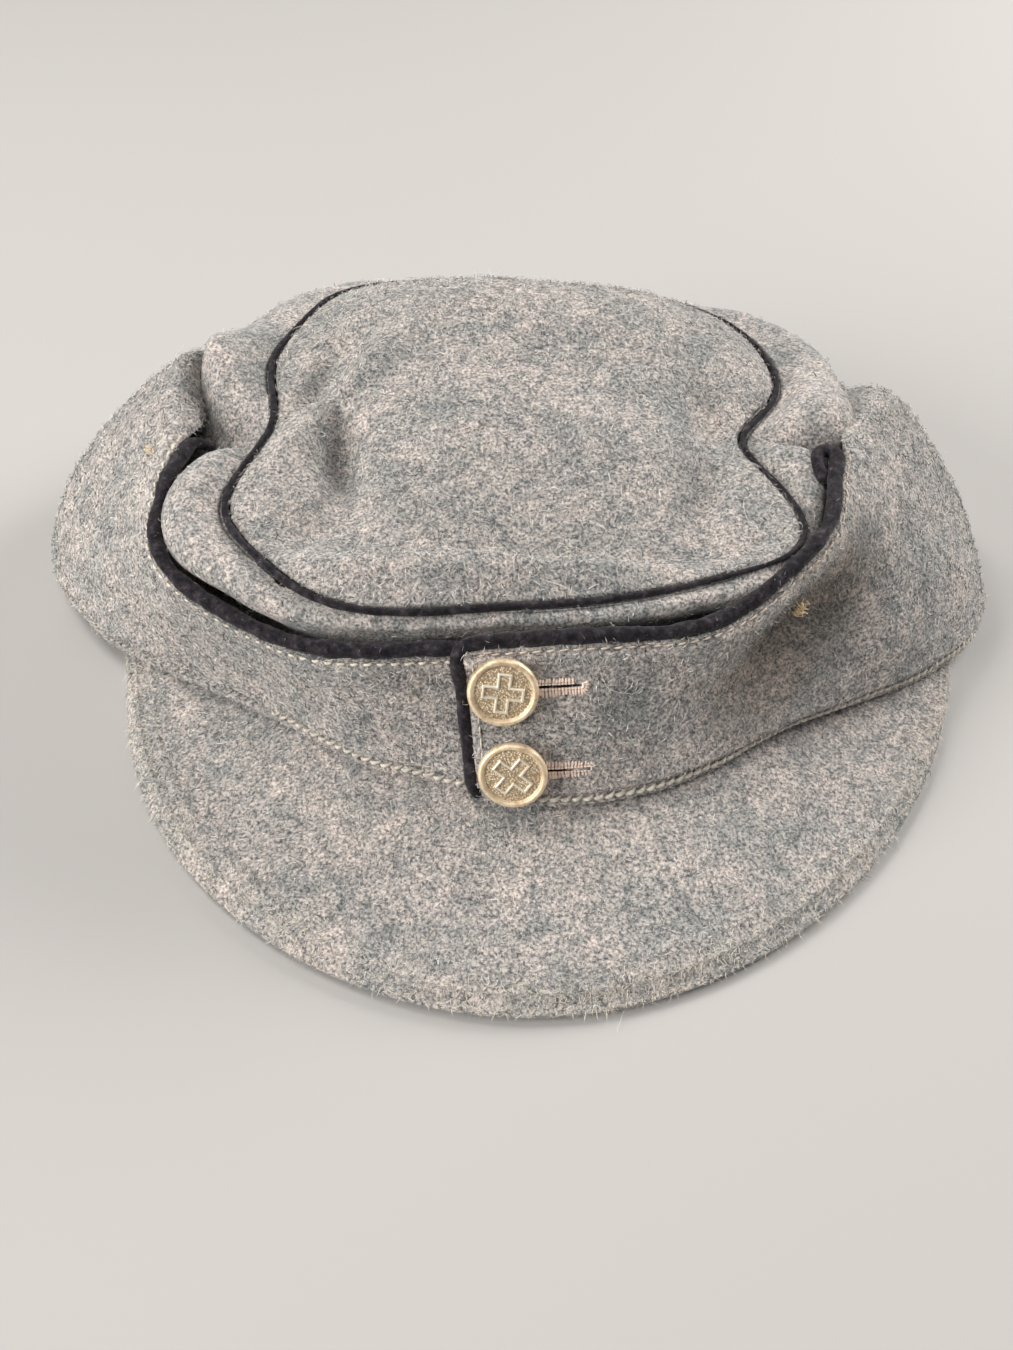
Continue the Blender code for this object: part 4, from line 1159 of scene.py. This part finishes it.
def wool_look(seat):
    """Felted wool: light and dark fibres mixed, with softly lighter and darker places."""
    look = Look("wool_worn", roughness=0.95, specular=0.15, sheen=0.25, sheen_roughness=0.6,
                sheen_tint=(0.85, 0.87, 0.86))
    flecks = look.ramp(look.noise(0.00036, 3.0, 0.75), (0.36, (0.11, 0.11, 0.115)),
                       (0.50, (0.385, 0.3625, 0.3475)), (0.62, (0.66, 0.615, 0.58)))
    clumps = look.ramp(look.noise(0.0014, 2.0, 0.60), (0.34, (0.56, 0.61, 0.62)), (0.50, (0.97, 0.97, 0.97)),
                       (0.66, (1.18, 1.15, 1.12)))
    drift = look.ramp(look.noise(0.0065, 3.0, 0.6), (0.36, (0.71, 0.755, 0.765)), (0.64, (1.17, 1.11, 1.08)))
    mixed = look.multiply(0.85, look.multiply(0.8, flecks, clumps), drift)
    # The right flap's hollow is darkened in the colour: partly painted shade, partly dirt.
    look.set(colour=look.soil(mixed, seat))
    look.bump(look.noise(0.0016, 3.0, 0.6), 0.4, 0.0005)
    look.bump(look.noise(0.0004, 3.0, 0.7), 0.6, 0.0003)
    return look.material


def piping_look():
    """Near-black felt with a purple tint and lighter lint."""
    look = Look("piping_felt_worn", roughness=0.95, specular=0.1, sheen=0.12, sheen_roughness=0.5)
    look.set(colour=look.ramp(look.noise(0.0009, 3.0, 0.6), (0.35, (0.009, 0.008, 0.010)),
                              (0.55, (0.027, 0.023, 0.028)), (0.72, (0.070, 0.060, 0.068))))
    look.bump(look.noise(0.0005, 3.0, 0.7), 0.7, 0.0003)
    return look.material


def plain_look(row, seat):
    """Even fibre, darkened in the right flap's hollow where its row says so: partly painted shade, partly
    dirt.
    """
    look = Look(row.name, roughness=row.roughness, specular=0.2, sheen=row.sheen)
    look.set(colour=look.soil(row.colour, seat) if row.soiled else row.colour)
    return look.material


def thread_look(name, dark, light):
    """Twisted thread, darker in its hollows."""
    look = Look(name, roughness=0.7, sheen=0.3)
    look.set(colour=look.ramp(look.noise(0.0005, 3.0, 0.6), (0.35, dark), (0.65, light)))
    look.bump(look.noise(0.0002, 2.0, 0.6), 0.5, 0.0001)
    return look.material


def metal_look(name, roughness, dark, middle, light):
    """Dulled yellowish metal, rougher where it is tarnished."""
    look = Look(name, metallic=0.6)
    tarnish = look.ramp(look.noise(0.0011, 4.0, 0.65), (0.32, dark), (0.50, middle), (0.70, light))
    dull, smooth = (roughness + 0.12,) * 3, (roughness - 0.1,) * 3
    rough = look.ramp(look.noise(0.0015, 3.0, 0.6), (0.3, dull), (0.7, smooth))
    look.set(colour=tarnish, roughness=rough)
    look.bump(look.noise(0.0006, 3.0, 0.6), 0.25, 0.0001)
    return look.material


def ground_look():
    """Sunken ground of a button, stippled all over."""
    look = Look("button_ground", metallic=0.6, roughness=0.5)
    cells = look.node("TexVoronoi", {"Vector": look.where, "Scale": 2300.0}).outputs["Distance"]
    look.set(colour=look.ramp(cells, (0.12, (1.0, 0.90, 0.69)), (0.55, (0.45, 0.335, 0.21))))
    flip = look.node("Math", {0: 1.0, 1: cells})
    flip.operation = "SUBTRACT"
    look.bump(flip.outputs[0], 0.9, 0.00022)
    return look.material


def make_looks(seat):
    """All materials by name."""
    made = [wool_look(seat), piping_look(), ground_look()]
    made += [thread_look(name, *colours) for name, colours in THREADS.items()]
    made += [metal_look(name, *values) for name, values in METALS.items()]
    made += [plain_look(row, seat) for row in PLAIN_LOOKS]
    return {look.name: look for look in made}


def cross_outline(reach, arm):
    """Corners of an equal-armed cross."""
    corners = []
    for turn in np.radians((0, 90, 180, 270)):
        for x, y in ((reach, -arm), (reach, arm), (arm, arm)):
            corners.append((x * math.cos(turn) - y * math.sin(turn), x * math.sin(turn) + y * math.cos(turn)))
    return corners


def make_button(button, looks):
    """Shank button on the turn-up: domed rim, grained ground and a raised cross ridged along its outline."""
    radius = BUTTON_DIAMETER / 2
    front = SHANK_STANDOFF + BUTTON_THICKNESS
    rim = [(RIM_WIDTH * (1.0 - math.cos(turn)), RIM_HEIGHT * (1.0 - math.sin(turn))) for turn in RIM_TURNS]
    profile = [(SHANK_RADIUS, -BAND_THICKNESS * 0.6), (SHANK_RADIUS, SHANK_STANDOFF)]
    profile += [(radius * 0.80, SHANK_STANDOFF)]
    profile += [(radius - inset, front - depth) for inset, depth in (*rim, *LIP, *GROUND)]
    turn = 2.0 * np.pi * np.arange(BUTTON_SIDES) / BUTTON_SIDES
    points = [np.stack((reach * np.cos(turn), reach * np.sin(turn), np.full(BUTTON_SIDES, height)), axis=1)
              for reach, height in profile]
    faces = grid_faces(len(profile), BUTTON_SIDES)
    look = np.arange(len(faces)) // BUTTON_SIDES >= len(profile) - 1 - len(GROUND)
    metal, ground = looks["button_metal_worn"], looks["button_ground"]
    body = build_mesh("worn_" + button.name, points, faces, [metal, ground], look)

    rows = [[(x, y, front + height) for x, y in cross_outline(CROSS_SPAN / 2 - inset, CROSS_ARM / 2 - inset)]
            for inset, height in CROSS_LAYERS]
    corners = len(rows[0])
    quads = grid_faces(len(rows), corners)
    lid = (len(rows) - 1) * corners + np.arange(corners)[None]
    cross = build_mesh("cross_" + button.name, rows, [quads, lid], [looks["button_metal_rubbed"], ground],
                       np.arange(len(quads) + 1) == len(quads), False)
    edge = cross.modifiers.new("edge", "BEVEL")
    edge.width = CROSS_EDGE
    edge.segments = 2

    angle, place = np.float64(button.angle), np.float64(button.place)
    normal = Vector(band_normal(angle, place))
    along = Vector(band_rise(angle, place)).cross(normal).normalized()
    seat = Matrix((along, normal.cross(along), normal)).transposed().to_4x4()
    seat.translation = Vector(band_point(angle, place))
    body.data.transform(seat)
    cross.data.transform(seat @ Matrix.Rotation(math.radians(button.turn), 4, "Z"))
    return body, cross


def on_band(button, along, rise):
    """Points and normals near a button: metres along the band and metres up the band."""
    angle, place = np.float64(button.angle), np.float64(button.place)
    here = band_point(angle, place)
    slope = np.linalg.norm(band_rise(angle, place)) / 0.2
    angle = angle + np.degrees(along / math.hypot(here[0], here[1]))
    place = place + rise / slope
    return band_point(angle, place), band_normal(angle, place)


def make_buttonhole(button, thread, shadow):
    """Worked buttonhole: two rows of stitches along a dark slit, closed by a bar of stitches at its end."""
    random = np.random.default_rng(7 + int(button.place * 10))
    rows = []
    for side, row_end in ((1.0, button.upper_end), (-1.0, button.lower_end)):
        along = np.arange(HOLE_START, row_end, HOLE_PITCH)
        shake = {key: random.uniform(-reach, reach, along.shape) for key, reach in HOLE_UNEVEN.items()}
        along = along + shake["along"]
        far = (HOLE_FAR + shake["far"]) * side
        rows.append((along, 0.0 * along + HOLE_NEAR * side, along + shake["lean"] + HOLE_LEAN, far))
    turns = np.radians(np.arange(button.fan_start, button.fan_end, FAN_STEP))
    fan = [(button.lower_end + out * np.cos(turns), up * np.sin(turns)) for out, up in (FAN_NEAR, FAN_FAR)]
    rows.append((*fan[0], *fan[1]))
    start_along, start_rise, end_along, end_rise = map(np.concatenate, zip(*rows))
    starts, ups = on_band(button, start_along, start_rise)
    starts = starts + ups * HOLE_LIFTS[0]
    ends = on_band(button, end_along, end_rise)[0] + ups * HOLE_LIFTS[1]
    stitches, faces = threads(starts, ends, ups, *HOLE_THREAD)
    purl_ends = (starts + share * (ends - starts) for share in PURL_REACH)
    purl, purl_faces = threads(*purl_ends, ups, *PURL_THREAD)
    name = button.name[len("button_"):]
    made = build_mesh("buttonhole_" + name, np.concatenate((stitches, purl)),
                      np.concatenate((faces, purl_faces + len(stitches))), [thread])

    share = np.linspace(0.0, 1.0, SLIT_ROWS)
    along = share * (BUTTONHOLE_LENGTH + 0.0001)
    half = between(*SLIT_WIDTHS, share) * np.sqrt(np.clip(1.0 - share ** 6, 0.0, 1.0))
    low, up = on_band(button, along, -half)
    high, middle = (on_band(button, along, rise)[0] for rise in (half, 0.0 * half))
    edge, core = SLIT_LIFTS
    grid = np.stack((low + up * edge, middle + up * core, high + up * edge), axis=1)
    return made, build_mesh("slit_" + name, grid, grid_faces(SLIT_ROWS, 3, around=False), [shadow])


def flap_edge(outer, inner):
    """Middle line of a piping seated on the free edge of the turn-up, and the cloth's directions there."""
    tips = (outer[:, -1] + inner[:, -1]) / 2
    across = unit(outer[:, -1] - inner[:, -1])
    beyond = unit(np.cross(across, np.gradient(tips, axis=0)))
    return tips + beyond * (FLAP_PIPING_DIAMETER / 2 - FLAP_PIPING_BITE), across


def curled(points, ups, offsets):
    """A line with a curled end put before its first point, evened out, and its directions."""
    start = points[0]
    onward = unit(start - points[3])
    inward = unit(start * (-1.0, -1.0, 0.0))
    corners = [start + onward * along + inward * across + (0.0, 0.0, up) for along, across, up in offsets]
    curl = evened(evenly(CURL_STEP, evened(corners[::-1] + [start], 2))[0], 8)[:-1]
    ups = np.concatenate((np.repeat(ups[:1], len(curl), axis=0), ups))
    return evened(np.concatenate((curl, points)), 2), ups


def nearest_rows(path, points, rows):
    """For each point of a path, the row of the nearest given point."""
    gaps = np.linalg.norm(path[:, None] - points[None], axis=2)
    return rows[gaps.argmin(axis=1)]


def make_flap_pipings(outer, inner, normals, shift, look):
    """Thick pipings: the left one ends at the lap, the right one turns down the lapped end."""
    line, across = flap_edge(outer, inner)
    shown = FLAP_PIPING_DIAMETER * FLAP_PIPING_SHOWN
    right_end, left_end = (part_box(node)[1][1] - shift.y - FLAP_PIPING_DIAMETER / 2
                           for node in ("flap_piping_right", "flap_piping_left"))
    lap = 360.0 + RIGHT_END_EDGE + 0.6
    left = (BAND_ANGLES > 240.0) & (BAND_ANGLES < lap) & (line[:, 1] < left_end)
    points, ups = curled(line[left], across[left], CURLS["left"])
    path = evenly(PIPING_STEP, points)[0]
    taper = between(TAPER_SHARE, 1.0, ease(np.arange(len(path)) * PIPING_STEP / TAPER_LENGTH))
    made_left = make_cord("piping_left", path, nearest_rows(path, points, ups), shown * taper, look)

    right = (BAND_ANGLES < 120.0) & (line[:, 1] < right_end)
    right[0] = False
    away = unit(outer[0] - outer[1])
    radius = FLAP_PIPING_DIAMETER / 2
    end_radius = radius * END_PIPING_SHARE
    down = outer[0] - normals[0] * (BAND_THICKNESS - end_radius) + away * (end_radius - END_PIPING_BITE)
    down = down[-3::-1]
    corner = line[1] + away[-1] * radius
    points = np.concatenate((line[right][:0:-1], [corner], down))
    ups = np.concatenate((across[right][:0:-1], [across[1]], normals[0][-3::-1]))
    points, ups = curled(points, ups, CURLS["right"])
    shares = np.ones((len(points), 1))
    shares[-len(down) + 3:] = END_PIPING_SHARE
    path = evenly(PIPING_STEP, points)[0]
    thick = np.pad(nearest_rows(path, points, shares)[:, 0], 3, "edge")
    thick = np.convolve(thick, np.full(7, 1 / 7), "valid") * shown
    return made_left, make_cord("piping_right", path, nearest_rows(path, points, ups), thick, look)


def make_hem(outer, normals, look):
    """Rolled hem along the foot of the turn-up, pinched into small puffs by its stitches, and its grid."""
    even, over = evenly(HEM_ROLL_STEP, *line_on(outer, normals, HEM_ROLL_PLACE))
    over = unit(over)
    random = np.random.default_rng(17)
    knots = np.cumsum(random.uniform(*HEM_PINCHES, HEM_PINCH_COUNT))
    phase = np.interp(np.arange(len(even)) * HEM_ROLL_STEP, knots, np.arange(len(knots)))
    puff = np.abs(np.sin(np.pi * phase))[:, None] ** 0.6
    turn = 2.0 * np.pi * np.arange(HEM_ROLL_SIDES) / HEM_ROLL_SIDES
    radius = HEM_ROLL_RADIUS * between(*HEM_PUFFS, puff) * (1.0 + HEM_FLATNESS * np.abs(np.cos(turn)))
    grid, faces = tube(even - over * HEM_ROLL_SUNK, over, radius, HEM_ROLL_SIDES)
    grid[..., 2] = np.maximum(grid[..., 2], 0.0)
    return build_mesh("hem_roll", grid, faces, [look]), grid


def keep(made, shift, slot, *replaced):
    """Move a piece from the cap's middle to the frame, hang it on the root body and hide the solids it
    replaces; its slot is not used.
    """
    made.data.transform(Matrix.Translation(shift))
    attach(made, "root")
    if replaced:
        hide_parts(*replaced)


def ring_face(grid):
    """A tube's grid as a face that goes all the way round."""
    ring = np.concatenate((grid, grid[:, :1]), axis=1)
    return ring, face_normals(ring, False, 0), None


def make_seams(band, peak, shift, looks):
    """Rows of stitches along the turn-up's foot, edge and front end and along the peak's rim."""
    outer, _, normals = band[:3]
    for rows, stitch, distance, from_end in ((HEM_ROWS, HEM_STITCH, HEM_SEAM, False),
                                             (EDGE_ROWS, EDGE_STITCH, EDGE_SEAM, True)):
        for row in rows:
            part = (BAND_ANGLES > row.first) & (BAND_ANGLES < row.last)
            line = line_on(outer[part], normals[part], distance, from_end)
            keep(stitch_row(row.name, line, stitch, row.radius, looks[row.look]), shift, "wool")
    end_line = (between(outer[1, 4:-4], outer[2, 4:-4], 0.3), normals[1, 4:-4])
    keep(stitch_row("end", end_line, END_STITCH, END_THREAD, looks["seam_thread"]), shift, "wool")
    for k, distance in enumerate(PEAK_SEAMS):
        line = line_on(peak[0], peak[2], distance, True)
        keep(stitch_row("peak_%d" % k, line, PEAK_STITCH, PEAK_THREAD, looks["peak_thread"]), shift, "wool")


def make_hairs(band, top, peak, shift, looks):
    """Loose hairs all over, and two bits of lint caught in the turn-up."""
    outer, _, normals, angle, place = band
    faces = {"turn_up": (outer, normals), "top": (top[0], top[2]), "peak": (peak[0], peak[2])}
    weights = {"hairs_front_roll": bump(np.linalg.norm(top[0] - ROLL_SPOT, axis=-1), ROLL_SPOT_REACH)}
    for name, face, count, seed in HAIR_SETS:
        hairs = loose_hairs(name, faces[face], count, HAIR, looks["fibre_white"], seed, weights.get(name))
        keep(hairs, shift, "wool")
    for name, lint_angle, lint_place, count, seed in LINT_SETS:
        away = np.abs(turn_between(angle, lint_angle)) / DEGREES_A_RING + np.abs(place - lint_place)
        middle = outer.reshape(-1, 3)[away.argmin()]
        spot = bump(np.linalg.norm(outer - middle, axis=-1), LINT_REACH)
        lint = loose_hairs(name, (outer, normals), count, LINT, looks["lint_orange"], seed, spot)
        keep(lint, shift, "wool")


def make_camera(shift):
    """Camera where the photograph was taken."""
    elevation, azimuth, roll = np.radians((CAMERA_ELEVATION, CAMERA_AZIMUTH, CAMERA_ROLL))
    level = math.cos(elevation)
    back = Vector((math.sin(azimuth) * level, -math.cos(azimuth) * level, math.sin(elevation)))
    across = Vector((0.0, 0.0, 1.0)).cross(back).normalized()
    over = back.cross(across)
    right = across * math.cos(roll) + over * math.sin(roll)
    up = over * math.cos(roll) - across * math.sin(roll)
    data = bpy.data.cameras.new("camera")
    data.sensor_width = SENSOR_MM
    data.lens = CAMERA_LENS_PX * SENSOR_MM / PHOTO_HEIGHT_PX
    data.clip_start = 0.01
    data.clip_end = 20.0
    camera = link("camera", data)
    place = Matrix((right, up, back)).transposed().to_4x4()
    place.translation = Vector(CAMERA_TARGET) + shift + back * CAMERA_DISTANCE
    camera.matrix_world = place
    bpy.context.scene.camera = camera


def make_studio():
    """Plain pale floor and soft light, strongest from above and behind on the left."""
    look = Look("floor", colour=FLOOR_COLOUR, roughness=0.9)
    corners = [(FLOOR_REACH * x, FLOOR_REACH * y, 0.0) for x, y in ((-1, -1), (1, -1), (1, 1), (-1, 1))]
    build_mesh("floor", corners, np.array([[0, 1, 2, 3]]), [look.material], smooth=False)
    for row in LAMPS:
        data = bpy.data.lights.new(row.name, "AREA")
        data.size = row.size
        data.energy = row.power
        data.color = row.colour
        lamp = link(row.name, data)
        lamp.location = row.place
        lamp.rotation_euler = (Vector(LAMP_TARGET) - Vector(row.place)).to_track_quat("-Z", "Y").to_euler()
    world = bpy.data.worlds.new("studio")
    world.use_nodes = True
    background = world.node_tree.nodes["Background"]
    background.inputs["Color"].default_value = WORLD_COLOUR
    background.inputs["Strength"].default_value = WORLD_STRENGTH
    bpy.context.scene.world = world
    bpy.context.scene.view_settings.view_transform = "Standard"


def frame_shift():
    """Where the middle of the cap is in the frame."""
    angle = np.linspace(0.0, 360.0, 720)
    seam = in_direction(angle, wall_ring("seam", angle))
    low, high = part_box("top_piping")
    across = (low[0] + high[0] - seam[:, 0].min() - seam[:, 0].max()) / 2
    return Vector((across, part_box("peak")[0][1] + PEAK_FRONT, 0.0))


def make_cloths(shift, wool):
    """The four cloths and the rolled hem; gives back the grids of the cloths and the hem's."""
    band, wall, top, peak = band_grid(), wall_grid(), top_grid(), peak_grid()
    keep(cloth_piece("cloth_turn_up", *band[:2], False, wool), shift, "wool", "turn_up")
    hem, hem_grid = make_hem(band[0], band[2], wool)
    keep(hem, shift, "wool")
    keep(cloth_piece("cloth_wall", *wall[:2], True, wool), shift, "wool", "crown_wall")
    keep(make_top(*top[:2], wool), shift, "wool", "top_panel")
    keep(cloth_piece("cloth_peak", *peak[:2], False, wool), shift, "wool", "peak")
    return band, wall, top, peak, hem_grid


def make_pipings(band, shift, felt):
    """The three pipings; gives back their grids."""
    seam = in_direction(SEAM_ANGLES, wall_ring("seam", SEAM_ANGLES))
    cord = make_cord("piping_top", seam, (0.0, 0.0, 1.0), top_piping_width(SEAM_ANGLES), felt, True)
    cords = (cord, *make_flap_pipings(*band[:3], shift, felt))
    for (made, _), node in zip(cords, ("top_piping", "flap_piping_left", "flap_piping_right")):
        keep(made, shift, "piping_felt", node)
    return [grid for _, grid in cords]


def make_buttons(shift, looks):
    """The two buttons with their buttonholes."""
    for button in BUTTONS:
        body, cross = make_button(button, looks)
        keep(body, shift, "button_metal", button.name)
        keep(cross, shift, "button_metal")
        for piece in make_buttonhole(button, looks["buttonhole_thread"], looks["slit_shadow"]):
            keep(piece, shift, "wool")


def make_naps(cloths, cords, shift, looks):
    band, wall, top, peak, hem_grid = cloths
    outer, normals = band[0], band[2]
    half = len(outer) // 2
    rim_weight = 1.0 - ease((lengths_back(peak[0]) - RIM_NAP_BAND[0]) / RIM_NAP_BAND[1])
    faces = {
        "right": (outer[:half], normals[:half], None),
        "left": (outer[half:], normals[half:], None),
        "top": (top[0], top[2], None),
        "peak": (peak[0], peak[2], None),
        "wall": (wall[0], wall[2], None),
        "peak_rim": (peak[0], peak[2], rim_weight),
        "hem": ring_face(hem_grid),
    }
    faces.update(zip(("piping_top", "piping_left", "piping_right"), map(ring_face, cords)))
    density = 1.0
    for row in NAPS:
        keep(fibres(row, faces[row.face], int(row.count * density), looks), shift, row.slot)


def main():
    """Build everything in the order of the parts."""
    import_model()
    shift = frame_shift()
    looks = make_looks(shade_and_soil_seat(shift))
    cloths = make_cloths(shift, looks["wool_worn"])
    band, _, top, peak = cloths[:4]
    cords = make_pipings(band, shift, looks["piping_felt_worn"])
    make_buttons(shift, looks)
    make_seams(band, peak, shift, looks)
    make_naps(cloths, cords, shift, looks)
    make_hairs(band, top, peak, shift, looks)
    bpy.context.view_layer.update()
    make_studio()
    make_camera(shift)


main()
